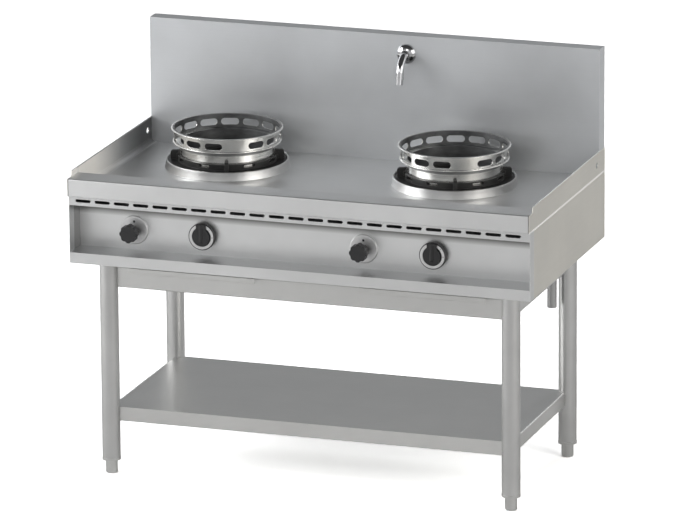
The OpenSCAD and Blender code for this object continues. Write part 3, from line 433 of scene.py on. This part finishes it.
def soot_and_painted_shade(material, ring):
    """Soot on a wok ring, with painted shade in the groove and at the rear of the lip, by height above its
    step and by the direction out from its axis.
    """
    middle, top = middle_of(ring), high_corner(ring)
    step_z, lip_r = top.z - BAND_H, top.x - middle.x
    tree = material.node_tree
    coords = add_node(tree, "ShaderNodeTexCoord")
    place = add_node(tree, "ShaderNodeMapping", location=(-middle.x, -middle.y, 0.0), scale=(1.0, 1.0, 0.0))
    radius = add_node(tree, "ShaderNodeVectorMath", operation="LENGTH")
    outward = add_node(tree, "ShaderNodeVectorMath", operation="NORMALIZE")
    away = add_node(tree, "ShaderNodeSeparateXYZ")
    face = add_node(tree, "ShaderNodeNewGeometry")
    turned_out = add_node(tree, "ShaderNodeVectorMath", operation="DOT_PRODUCT")
    tree.links.new(coords.outputs["Object"], place.inputs["Vector"])
    tree.links.new(place.outputs["Vector"], radius.inputs[0])
    tree.links.new(place.outputs["Vector"], outward.inputs[0])
    tree.links.new(outward.outputs["Vector"], away.inputs["Vector"])
    tree.links.new(outward.outputs["Vector"], turned_out.inputs[0])
    tree.links.new(face.outputs["Normal"], turned_out.inputs[1])
    height = object_axes(tree)["Z"]

    def over_heights(span, to_low, to_high):
        """A mask that changes between two heights above the step."""
        return remap(tree, height, step_z + span[0], step_z + span[1], to_low, to_high)

    looks_up = remap(tree, face_axes(tree, "Normal")["Z"], *TOP_FACE, 0.0, 1.0)
    off_the_sides = remap(tree, absolute(tree, away.outputs["X"]), *TO_THE_SIDES, 1.0, SIDE_SOOT)
    on_step = joined(tree, "MULTIPLY", looks_up, over_heights(STEP_ENDS, 1.0, 0.0), off_the_sides)
    inner_half = remap(tree, radius.outputs["Value"], lip_r - LIP_SOOTY, lip_r - LIP_CLEAN, LIP_SOOT, 0.0)
    # Painted shade at the rear of the lip.
    at_rear = remap(tree, away.outputs["Y"], *TO_THE_REAR, 0.0, REAR_LIP_SHADE)
    on_lip = joined(tree, "MULTIPLY", looks_up, over_heights(LIP_STARTS, 0.0, 1.0),
                    joined(tree, "MAXIMUM", inner_half, at_rear))
    inner_wall = remap(tree, turned_out.outputs["Value"], *INNER_FACE, 1.0, 0.0)
    # Painted shade in the groove below the band.
    groove = joined(tree, "MULTIPLY", over_heights(GROOVE_STARTS, 0.0, GROOVE_SHADE),
                    over_heights(GROOVE_ENDS, 1.0, 0.0))
    soot = noise_on_object(tree, (25.0, 25.0, 60.0), detail=4.0)
    soot_shade_tone = blend_colours(tree, spread(tree, soot, 0.0, 1.0), SOOT_SHADE_DARK, SOOT_SHADE_PALE)
    soot_and_shade_mask = joined(tree, "MAXIMUM", inner_wall, on_step, on_lip, groove)
    laid_over(material, soot_and_shade_mask, soot_shade_tone, rougher=SOOT_ROUGH)


wok_ring_finish = {}
for side in ("left", "right"):
    wok_ring_finish[side] = turned_steel(f"wok_ring_steel_{side}", (0.80, 0.795, 0.77), 0.23, ring_axis=2,
                                         ring_scale=500.0, depth=0.000008)
    soot_and_painted_shade(wok_ring_finish[side], f"wok_ring_{side}")
print("sooty wok rings", len(wok_ring_finish))

# %% [markdown]
# The pan support is black cast iron and the burner heads are bare grey iron. Sand moulds leave a
# fine pebbled skin, heat leaves paler, dustier patches, and the edges are knocked smooth. The knobs
# are moulded in black plastic with a faint spark texture, and their dials are thin silver plates
# brushed in circles.

# %% Cast iron, moulded black and the silver dials
PEBBLE_SCALE, CAST_EDGE = 650.0, 0.0012
SPARK_SCALE, KNOB_EDGE = 1500.0, 0.0008
CIRCLE_SCALE, DIAL_EDGE = 2600.0, 0.0006


def cast_iron(name, colour, ashy, rough):
    """Sand-cast skin: a pebbled bump of about a millimetre, ashy patches and paler rubbed edges."""
    material, tree, shader = start_material(name, Metallic=0.0)
    shader.inputs["Specular IOR Level"].default_value = 0.45
    pebbles = noise_on_object(tree, [PEBBLE_SCALE] * 3, detail=3.0, roughness=0.6)
    patches = noise_on_object(tree, [16.0] * 3, detail=5.0)
    worn = edge_mask(tree, 2.0 * CAST_EDGE)
    dusty = blend_colours(tree, remap(tree, patches, 0.42, 0.72, 0.0, 1.0), colour, ashy)
    tree.links.new(blend_colours(tree, worn, dusty, tinted(ashy, 2.2)), shader.inputs["Base Color"])
    tree.links.new(spread(tree, patches, rough - 0.08, rough + 0.1), shader.inputs["Roughness"])
    tree.links.new(bump_from(tree, pebbles, 0.0003, 0.45, CAST_EDGE), shader.inputs["Normal"])
    return material


def moulded_black(name, colour, rough):
    """Moulded plastic with a fine spark texture, a little paler where fingers rub the edges."""
    material, tree, shader = start_material(name, Metallic=0.0)
    spark = noise_on_object(tree, [SPARK_SCALE] * 3, detail=2.0)
    touch = noise_on_object(tree, [40.0] * 3, detail=3.0)
    worn = edge_mask(tree, 2.0 * KNOB_EDGE)
    base = blend_colours(tree, remap(tree, touch, 0.35, 0.7, 0.0, 1.0), colour, tinted(colour, 1.35))
    tree.links.new(blend_colours(tree, worn, base, tinted(colour, 2.6)), shader.inputs["Base Color"])
    tree.links.new(spread(tree, touch, rough - 0.05, rough + 0.07), shader.inputs["Roughness"])
    tree.links.new(bump_from(tree, spark, 0.00006, 0.4, KNOB_EDGE), shader.inputs["Normal"])
    return material


def circled_silver(name, centre, rough):
    """A thin plate brushed in circles: noise of the distance from its centre (metres) in X and Z."""
    material, tree, shader = start_material(name, Metallic=1.0, IOR=2.0)
    coords = add_node(tree, "ShaderNodeTexCoord")
    place = add_node(tree, "ShaderNodeMapping", location=tuple(-c for c in centre))
    flat = add_node(tree, "ShaderNodeVectorMath", operation="MULTIPLY")
    flat.inputs[1].default_value = (1.0, 0.0, 1.0)
    radius = add_node(tree, "ShaderNodeVectorMath", operation="LENGTH")
    circles = add_node(tree, "ShaderNodeTexNoise", noise_dimensions="1D", scale=CIRCLE_SCALE, detail=2.0)
    tree.links.new(coords.outputs["Object"], place.inputs["Vector"])
    tree.links.new(place.outputs["Vector"], flat.inputs[0])
    tree.links.new(flat.outputs["Vector"], radius.inputs[0])
    tree.links.new(radius.outputs["Value"], circles.inputs["W"])
    film = noise_on_object(tree, [30.0] * 3, detail=3.0)
    tone = blend_colours(tree, spread(tree, film, 0.0, 1.0), (0.62, 0.62, 0.62), (0.72, 0.72, 0.72))
    tree.links.new(tone, shader.inputs["Base Color"])
    tree.links.new(remap(tree, circles.outputs["Fac"], *FINE_SPAN, rough - 0.06, rough + 0.08),
                   shader.inputs["Roughness"])
    grooved = bump_from(tree, circles.outputs["Fac"], 0.00004, 0.35, DIAL_EDGE)
    tree.links.new(grooved, shader.inputs["Normal"])
    return material


cast_black = cast_iron("pan_support_cast_iron", (0.012, 0.012, 0.012), (0.03, 0.03, 0.029), 0.46)
burner_iron = cast_iron("burner_grey_iron", (0.035, 0.034, 0.033), (0.075, 0.072, 0.068), 0.58)
knob_black = moulded_black("knob_moulded_black", (0.011, 0.011, 0.012), 0.34)
dial_left = circled_silver("dial_silver_left", middle_of("dial_ring_left"), rough=0.34)
dial_right = circled_silver("dial_silver_right", middle_of("dial_ring_right"), rough=0.34)
bezel_silver = circled_silver("bezel_silver", middle_of("pilot_bezels"), rough=0.44)
print("iron, plastic and silver ready")

# %% [markdown]
# Each solid now takes its finish. Sheets that run front to back have their lines along the depth,
# and the rest along the width, because that is how the blanks are cut from the roll.

# %% Give every solid its finish
FINISH = {
    worktop_steel: ["top_pan"],
    splash_steel: ["backsplash"],
    side_steel: ["side_guard_left", "side_guard_right", "side_panel_left", "side_panel_right"],
    cabinet_steel: ["front_frame", "base_panel", "rear_panel"],
    panel_steel: ["control_panel"],
    stand_steel: ["stand_rail_front", "stand_rail_rear", "undershelf"],
    stand_side_steel: ["stand_rail_left", "stand_rail_right", "tray_runners"],
    tray_steel: ["drip_tray_left", "drip_tray_right"],
    tube_steel: ["leg_front_left", "leg_front_right", "leg_rear_left", "leg_rear_right"],
    bush_steel: ["leg_bushes"],
    foot_steel: ["foot_front_left", "foot_front_right", "foot_rear_left", "foot_rear_right"],
    screw_steel: ["panel_screws"],
    tap_chrome: ["tap_rosette", "tap_spout", "tap_nozzle"],
    nut_brass: ["tap_lock_nut"],
    trim_steel: ["trim_ring_left", "trim_ring_right"],
    wok_ring_finish["left"]: ["wok_ring_left"],
    wok_ring_finish["right"]: ["wok_ring_right"],
    cast_black: ["cast_ring_left", "cast_ring_right"],
    burner_iron: ["burner_head_left", "burner_head_right", "mixing_tube_left", "mixing_tube_right"],
    bridge_steel: ["burner_bridges"],
    gas_brass: ["jet_pipes", "pilot_burners", "main_valves", "pilot_valves"],
    pipe_steel: ["gas_manifold", "gas_inlet_pipe"],
    spindle_steel: ["main_spindle_left", "main_spindle_right", "pilot_spindle_left", "pilot_spindle_right"],
    knob_black: ["main_knob_left", "main_knob_right", "pilot_knob_left", "pilot_knob_right"],
    dial_left: ["dial_ring_left"],
    dial_right: ["dial_ring_right"],
    bezel_silver: ["pilot_bezels"],
}
for material, names in FINISH.items():
    for name in names:
        nodes[name].data.materials.clear()
        nodes[name].data.materials.append(material)
bare = sorted(set(nodes) - {n for names in FINISH.values() for n in names})
print("solids with a finish", sum(len(n) for n in FINISH.values()), "without", bare)

# %% [markdown]
# The solids are cut from straight sheets, but a press never folds to a knife edge, and an edge that
# a hand meets is always rolled or hemmed. These small pieces are worked out as surfaces: a short
# outline in two dimensions is carried along a line or round an axis, all points at once with numpy,
# and the ends are closed.

# %% Meshes from points
def mesh_piece(name, points, faces, material, smooth_below=40.0):
    """A mesh object with outward normals, smooth except at turns sharper than smooth_below degrees."""
    mesh = bpy.data.meshes.new(name)
    mesh.from_pydata(points.reshape(-1, 3).tolist(), [], faces)
    shape = bmesh.new()
    shape.from_mesh(mesh)
    bmesh.ops.recalc_face_normals(shape, faces=shape.faces)
    shape.to_mesh(mesh)
    shape.free()
    mesh.polygons.foreach_set("use_smooth", np.ones(len(mesh.polygons), bool))
    mesh.set_sharp_from_angle(angle=np.radians(smooth_below))
    mesh.materials.append(material)
    piece = bpy.data.objects.new(name, mesh)
    scene.collection.objects.link(piece)
    return piece


def grid_faces(rows, columns):
    """Quads of a rows x columns grid of points, in order, as an array of four indices each."""
    first = (np.arange(rows - 1)[:, None] * columns + np.arange(columns - 1)[None, :]).ravel()
    return np.stack([first, first + 1, first + columns + 1, first + columns], axis=1)


def carried(name, rings, material, round_trip=False):
    """Skin over closed rings (rows x points x 3); a round trip closes the rows, else the ends get caps."""
    rows, count = rings.shape[:2]
    here = np.arange(rows if round_trip else rows - 1)[:, None] * count
    there = (here + count) % (rows * count)
    j = np.arange(count)[None, :]
    k = (j + 1) % count
    faces = np.stack([here + j, here + k, there + k, there + j], axis=-1).reshape(-1, 4).tolist()
    if not round_trip:
        faces += [list(range(count)), list(range((rows - 1) * count, rows * count))]
    return mesh_piece(name, rings, faces, material)


print("mesh helpers ready")

# %% Outlines and the ways to carry them
def along_depth(outline, y_from, y_to, rows=12):
    """Rings of an outline in X and Z placed at even steps of Y: (x, y, z) = (u_i, y_j, w_i)."""
    y = np.linspace(y_from, y_to, rows)
    rings = np.zeros((rows, len(outline), 3))
    rings[:, :, 0] = outline[None, :, 0]
    rings[:, :, 1] = y[:, None]
    rings[:, :, 2] = outline[None, :, 1]
    return rings


def round_axis(outline, centre, steps=128):
    """Rings of an outline (r, h) turned about a vertical axis: (cx + r cos t, cy + r sin t, h)."""
    t = np.linspace(0.0, 2.0 * np.pi, steps, endpoint=False)
    rings = np.zeros((steps, len(outline), 3))
    rings[:, :, 0] = centre[0] + np.cos(t)[:, None] * outline[None, :, 0]
    rings[:, :, 1] = centre[1] + np.sin(t)[:, None] * outline[None, :, 0]
    rings[:, :, 2] = outline[None, :, 1]
    return rings


def hollow_quarter(corner_u, corner_w, radius, sink=0.0003, steps=12):
    """A fillet in an inside corner: (u, w) = centre + R (cos a, sin a), a from 0 to -90 degrees."""
    a = np.linspace(0.0, -np.pi / 2, steps)
    centre_u, centre_w = corner_u - radius, corner_w + radius
    bow = np.stack([centre_u + radius * np.cos(a), centre_w + radius * np.sin(a)], axis=-1)
    back = np.array([[corner_u - radius, corner_w - sink], [corner_u + sink, corner_w - sink],
                     [corner_u + sink, corner_w + radius]])
    return np.concatenate([bow, back])


def sealed_joint(x_out, z_from, z_to, depth=0.0013, bulge=0.0002, steps=9):
    """A strip that fills a joint: flat behind, and bowed in front, x = x_out - bulge (1 - sin(pi s))."""
    s = np.linspace(0.0, 1.0, steps)
    face = np.stack([x_out - bulge * (1.0 - np.sin(np.pi * s)), z_from + (z_to - z_from) * s], axis=-1)
    back = np.array([[x_out - depth, z_to], [x_out - depth, z_from]])
    return np.concatenate([face, back])


around = np.linspace(0.0, 2.0 * np.pi, 24, endpoint=False)
round_bar = np.stack([np.cos(around), np.sin(around)], axis=-1)
SIDES = {"left": -1.0, "right": 1.0}
print("outline helpers ready, round bar with", len(round_bar), "points")

# %% [markdown]
# The worktop is one pressed pan. Where its floor turns up into the side walls the press leaves a
# round cove that shows as a soft bright band, and the wall and the guard beside it are hemmed
# together by a rolled cap. The open joint below each guard is filled with a strip of sealant whose
# pale colour is a painted highlight: it stands in for the thin white line on the side of the range.

# %% Pale sealant
def pale_sealant(name, colour, rough):
    """Cured sealant: slightly lumpy, a little yellower and duller in patches, and never metallic."""
    material, tree, shader = start_material(name, Metallic=0.0)
    lumps = noise_on_object(tree, (400.0, 60.0, 400.0), detail=2.0)
    aged = noise_on_object(tree, [9.0] * 3, detail=4.0)
    yellowed = tuple(c * k for c, k in zip(colour, (0.95, 0.93, 0.87)))
    tree.links.new(blend_colours(tree, remap(tree, aged, 0.35, 0.75, 0.0, 1.0), colour, yellowed),
                   shader.inputs["Base Color"])
    tree.links.new(spread(tree, aged, rough - 0.06, rough + 0.08), shader.inputs["Roughness"])
    tree.links.new(bump_from(tree, lumps, 0.0002, 0.4), shader.inputs["Normal"])
    return material


# The sealant's pale colour is a painted highlight along the joint below each guard.
joint_sealant = pale_sealant("joint_sealant", (0.88, 0.88, 0.86), 0.42)
print("sealant ready")

# %% Coves, hems and sealed joints of the worktop
COVE_R = 0.014
CAP_HALF, CAP_RISE = 0.0016, 0.0013
GUARD_SETBACK = 0.0345
RIM_W = 0.081
END_GAP = 0.0005
BEAD_H, BEAD_INSET = 0.0024, 0.0001
guard_z = high_corner("side_guard_right").z
guard_out_x = high_corner("side_guard_right").x
seam_x = (pan_end_x - SHEET + guard_out_x) / 2
rear_y = low_corner("backsplash").y - END_GAP
joint_y = (low_corner("side_panel_right").y, high_corner("side_panel_right").y)
cove_steel = satin_steel("worktop_cove_steel", STEEL, 0.40, along=1)
# Painted highlight at the front and painted shade at the rear of the coves.
wall_highlight_and_shade(cove_steel, wall_foot_z)
hem_steel = satin_steel("guard_hem_steel", (0.58, 0.58, 0.57), 0.42, along=1, edge=0.0004)

for side, sign in SIDES.items():
    mirror = np.array([sign, 1.0])
    cove_outline = hollow_quarter(pan_end_x - SHEET, floor_z, COVE_R) * mirror
    cove = carried(f"well_cove_{side}", along_depth(cove_outline, front_y + RIM_W, rear_y), cove_steel)
    cap_outline = (np.array([seam_x, guard_z]) + round_bar * np.array([CAP_HALF, CAP_RISE])) * mirror
    hem = carried(f"guard_hem_{side}", along_depth(cap_outline, front_y + GUARD_SETBACK, rear_y), hem_steel)
    bead_outline = sealed_joint(guard_out_x - BEAD_INSET, side_top_z, side_top_z + BEAD_H) * mirror
    bead = carried(f"guard_bead_{side}", along_depth(bead_outline, *joint_y), joint_sealant)
    for piece in (cove, hem, bead):
        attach(piece, "range")
print("coves", COVE_R, "m, hems and sealed joints on both sides")

# %% [markdown]
# Each trim ring is pressed up out of the floor of the pan. At its foot a small round fillet,
# polished with the wall, leads into the floor, so no hard black line shows where the two meet.

# %% Swept feet of the trim rings
TRIM_FLARE = 0.0019
TRIM_SWEEP = 0.0028
for side in SIDES:
    ring = f"trim_ring_{side}"
    foot_r = high_corner(ring).x - middle_of(ring).x - TRIM_FLARE
    outline = hollow_quarter(-foot_r, floor_z, TRIM_SWEEP) * np.array([-1.0, 1.0])
    turned = round_axis(outline, middle_of(ring)[:2])
    sweep = carried(f"trim_sweep_{side}", turned, trim_steel, round_trip=True)
    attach(sweep, "range")
print("trim sweeps", TRIM_SWEEP, "m wide")

# %% [markdown]
# The shelf is folded down along both sides. The press leaves a round fold there that mirrors the low
# white band behind the range as one thin line, and its steel is painted paler than the shelf as a
# painted highlight on that line.

# %% Side folds of the shelf
FOLD_R = 0.0016
FOLD_SUNK = 0.0012
# The fold's pale colour is a painted highlight on its thin line.
fold_steel = satin_steel("shelf_fold_steel", (0.86, 0.86, 0.85), 0.26, along=1, edge=0.0004)
fold_y = (high_corner("leg_front_right").y, low_corner("leg_rear_right").y)
shelf_corner = high_corner("undershelf")
fold_middle = np.array([shelf_corner.x, shelf_corner.z]) - FOLD_SUNK
for side, sign in SIDES.items():
    fold_outline = (fold_middle + FOLD_R * round_bar) * np.array([sign, 1.0])
    fold = carried(f"shelf_fold_{side}", along_depth(fold_outline, *fold_y), fold_steel)
    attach(fold, "range")
print("shelf folds", round(fold_y[1] - fold_y[0], 3), "m long")

# %% [markdown]
# The main knobs have a raised finger bar that runs from below the middle up to the pointer, and two
# short marks are printed on each silver dial. A black dot on the bezel shows the pilot's off place.
# All are height fields: a grid of points over a small outline whose rim sinks just under the
# surface that carries it.

# %% Finger bars, dial marks and bezel dots
BAR_UP, BAR_HALF, BAR_RISE = 0.009, (0.0055, 0.0245), 0.0026
MARK_R, MARK_ANGLES = 0.031, np.radians([48.0, 90.0])
MARK_HALF, MARK_RISE = (0.0009, 0.0022), 0.0002
DOT_UP, DOT_HALF, DOT_RISE = 0.0242, (0.0033, 0.0033), 0.0003
PRINT_SINK = 0.0001
knob_z = middle_of("pilot_bezels").z
grip_face_y = low_corner("main_knob_left").y
dial_face_y = low_corner("dial_ring_left").y
bezel_face_y = low_corner("pilot_bezels").y


def raised_patch(name, centre, half, height, turn=0.0, sink=0.0002, steps=25):
    """A black pad on a face towards -Y: y = y0 + sink - (h + sink) sqrt((1 - u^2)(1 - w^4))."""
    u, w = np.meshgrid(np.linspace(-1.0, 1.0, steps), np.linspace(-1.0, 1.0, steps))
    lift = np.sqrt(np.clip(1.0 - u ** 2, 0.0, 1.0) * np.clip(1.0 - w ** 4, 0.0, 1.0))
    across, upward = half[0] * u, half[1] * w
    x = centre[0] + across * np.cos(turn) - upward * np.sin(turn)
    z = centre[2] + across * np.sin(turn) + upward * np.cos(turn)
    points = np.stack([x, centre[1] + sink - (height + sink) * lift, z], axis=-1)
    return mesh_piece(name, points, grid_faces(steps, steps).tolist(), knob_black, smooth_below=75.0)


for side in SIDES:
    knob_x = middle_of(f"main_knob_{side}").x
    pilot_x = middle_of(f"pilot_knob_{side}").x
    bar = raised_patch(f"main_finger_bar_{side}", (knob_x, grip_face_y, knob_z + BAR_UP),
                       BAR_HALF, BAR_RISE)
    marks = [raised_patch(f"dial_mark_{side}_{i}",
                          (knob_x + MARK_R * np.sin(a), dial_face_y, knob_z + MARK_R * np.cos(a)),
                          MARK_HALF, MARK_RISE, turn=-a, sink=PRINT_SINK, steps=9)
             for i, a in enumerate(MARK_ANGLES)]
    dot = raised_patch(f"pilot_dot_{side}", (pilot_x, bezel_face_y, knob_z + DOT_UP),
                       DOT_HALF, DOT_RISE, sink=PRINT_SINK, steps=13)
    for piece in (bar, *marks):
        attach(piece, f"main_knob_{side}")
    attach(dot, "range")
print("finger bars, dial marks and bezel dots ready")

# %% [markdown]
# The studio is a plain pale floor in a room with bright side walls, a white band low at the back
# and a dim ceiling. Steel only looks like steel when it has something to reflect, so the sides are
# bright and the ceiling is dark. To the camera and to mirrors the floor reads white, and it still
# takes the object's shadow.

# %% Floor
FLOOR_HALF = 45.0
FLOOR_GAP = 0.0005
PAPER, MIRRORED_PAPER, CAMERA_PAPER = (0.80, 0.80, 0.80), (1.0, 1.0, 1.0), (2.7, 2.7, 2.7)


def pale_floor():
    """Matt white paper; camera, mirror and glass rays read it brighter, so that it comes out white."""
    material, tree, shader = start_material("pale_floor", Roughness=0.9)
    shader.inputs["Specular IOR Level"].default_value = 0.0
    path = add_node(tree, "ShaderNodeLightPath")
    mirrored = joined(tree, "MAXIMUM", path.outputs["Is Glossy Ray"], path.outputs["Is Transmission Ray"])
    tone = blend_colours(tree, mirrored, PAPER, MIRRORED_PAPER)
    tree.links.new(blend_colours(tree, path.outputs["Is Camera Ray"], tone, CAMERA_PAPER),
                   shader.inputs["Base Color"])
    return material


ends = np.linspace(-FLOOR_HALF, FLOOR_HALF, 2)
floor_x, floor_y = np.meshgrid(ends, ends)
floor_points = np.stack([floor_x, floor_y, np.full_like(floor_x, -FLOOR_GAP)], axis=-1)
floor_mesh = bpy.data.meshes.new("studio_floor")
floor_mesh.from_pydata(floor_points.reshape(-1, 3).tolist(), [], grid_faces(2, 2).tolist())
floor_mesh.materials.append(pale_floor())
floor = bpy.data.objects.new("studio_floor", floor_mesh)
scene.collection.objects.link(floor)
print("floor", 2 * FLOOR_HALF, "m wide")

# %% Room around the range
FRONT_LOW, FRONT_WALL = (0.75, 0.75, 0.75), (0.60, 0.60, 0.60)
BACK_LOW, BACK_WALL = (0.95, 0.95, 0.95), (0.44, 0.45, 0.46)
SIDE_WALLS, CEILING = (1.70, 1.70, 1.70), (0.07, 0.07, 0.071)
TO_SIDES, TO_BACK = (0.5, 0.85), (-0.4, 0.5)
OVER_HORIZON, TO_CEILING = (0.06, 0.22), (0.30, 0.60)
world = bpy.data.worlds.new("studio")
scene.world = world
world.use_nodes = True
sky = world.node_tree
sky.nodes.clear()
sky_out = add_node(sky, "ShaderNodeOutputWorld")
sky_light = add_node(sky, "ShaderNodeBackground", strength=1.0)
sky_coords = add_node(sky, "ShaderNodeTexCoord")
sky_axes = add_node(sky, "ShaderNodeSeparateXYZ")
sky.links.new(sky_coords.outputs["Generated"], sky_axes.inputs["Vector"])
by_side = remap(sky, absolute(sky, sky_axes.outputs["X"]), *TO_SIDES, 0.0, 1.0)
by_depth = remap(sky, sky_axes.outputs["Y"], *TO_BACK, 0.0, 1.0)
above_horizon = remap(sky, sky_axes.outputs["Z"], *OVER_HORIZON, 0.0, 1.0)
overhead = remap(sky, sky_axes.outputs["Z"], *TO_CEILING, 0.0, 1.0)
horizon = blend_colours(sky, by_depth, FRONT_LOW, BACK_LOW)
wall = blend_colours(sky, by_depth, FRONT_WALL, BACK_WALL)
round_about = blend_colours(sky, above_horizon, horizon, wall)
with_sides = blend_colours(sky, by_side, round_about, SIDE_WALLS)
room = blend_colours(sky, overhead, with_sides, CEILING)
sky.links.new(room, sky_light.inputs["Color"])
sky.links.new(sky_light.outputs["Background"], sky_out.inputs["Surface"])
print("room with", len(sky.nodes), "nodes")

# %% [markdown]
# The lamps are large and soft. The main one stands on the left, a weaker and warmer one on the
# right, and a third far away and high in front. A small one high behind the right side lights the
# rear edges, and another lies over the floor on the left, where the leg tubes mirror it.

# %% Lamps
def soft_lamp(name, place, aim, size, watts, colour=(1.0, 1.0, 1.0)):
    """A square lamp at place that faces aim."""
    lamp = bpy.data.lights.new(name, "AREA")
    lamp.size = size
    lamp.energy = watts
    lamp.color = colour
    holder = bpy.data.objects.new(name, lamp)
    holder.location = place
    holder.rotation_euler = (Vector(aim) - Vector(place)).to_track_quat("-Z", "Y").to_euler()
    scene.collection.objects.link(holder)


soft_lamp("key_left", (-5.0, -3.0, 3.2), (0.0, 0.0, 0.6), 3.2, 170.0)
soft_lamp("fill_right", (5.0, -2.0, 2.8), (0.0, 0.0, 0.6), 2.6, 70.0, (1.0, 0.97, 0.92))
soft_lamp("front_high", (0.0, -16.0, 8.5), (0.0, 0.0, 0.8), 5.0, 200.0)
soft_lamp("back_right", (1.7, 5.8, 4.3), (0.0, 0.0, 0.8), 1.5, 55.0)
soft_lamp("floor_left", (-3.4, -0.9, 1.7), (-2.3, -0.7, 0.0), 1.4, 15.0)

# %% [markdown]
# The camera is fitted to the photograph: its place, heading and focal length come from lining up
# the long edges of the cabinet, the backsplash and the stand. It stands far back with a long lens,
# so the edges run almost parallel.

# %% Camera
CAMERA_PLACE = (6.05528, -17.7315, 5.74035)
HEADING, PITCH, ROLL = np.radians([18.84, -15.35, -0.40])
FOCAL_PIXELS = 7108.7
IMAGE_WIDTH = 680
SENSOR_WIDTH = 36.0
CLIP_END = 200.0
ahead = np.array([-np.sin(HEADING) * np.cos(PITCH), np.cos(HEADING) * np.cos(PITCH), np.sin(PITCH)])
right = np.array([np.cos(HEADING), np.sin(HEADING), 0.0])
up = np.cross(right, ahead)
rolled_right = right * np.cos(ROLL) + up * np.sin(ROLL)
rolled_up = up * np.cos(ROLL) - right * np.sin(ROLL)
lens = bpy.data.cameras.new("photo_camera")
lens.sensor_fit = "HORIZONTAL"
lens.sensor_width = SENSOR_WIDTH
lens.lens = FOCAL_PIXELS / IMAGE_WIDTH * SENSOR_WIDTH
lens.clip_end = CLIP_END
camera = bpy.data.objects.new("photo_camera", lens)
turn = Matrix(np.stack([rolled_right, rolled_up, -ahead], axis=1).tolist())
camera.matrix_world = Matrix.Translation(CAMERA_PLACE) @ turn.to_4x4()
scene.collection.objects.link(camera)
scene.camera = camera
scene.view_settings.view_transform = "Standard"
print("lens", round(lens.lens, 1), "mm")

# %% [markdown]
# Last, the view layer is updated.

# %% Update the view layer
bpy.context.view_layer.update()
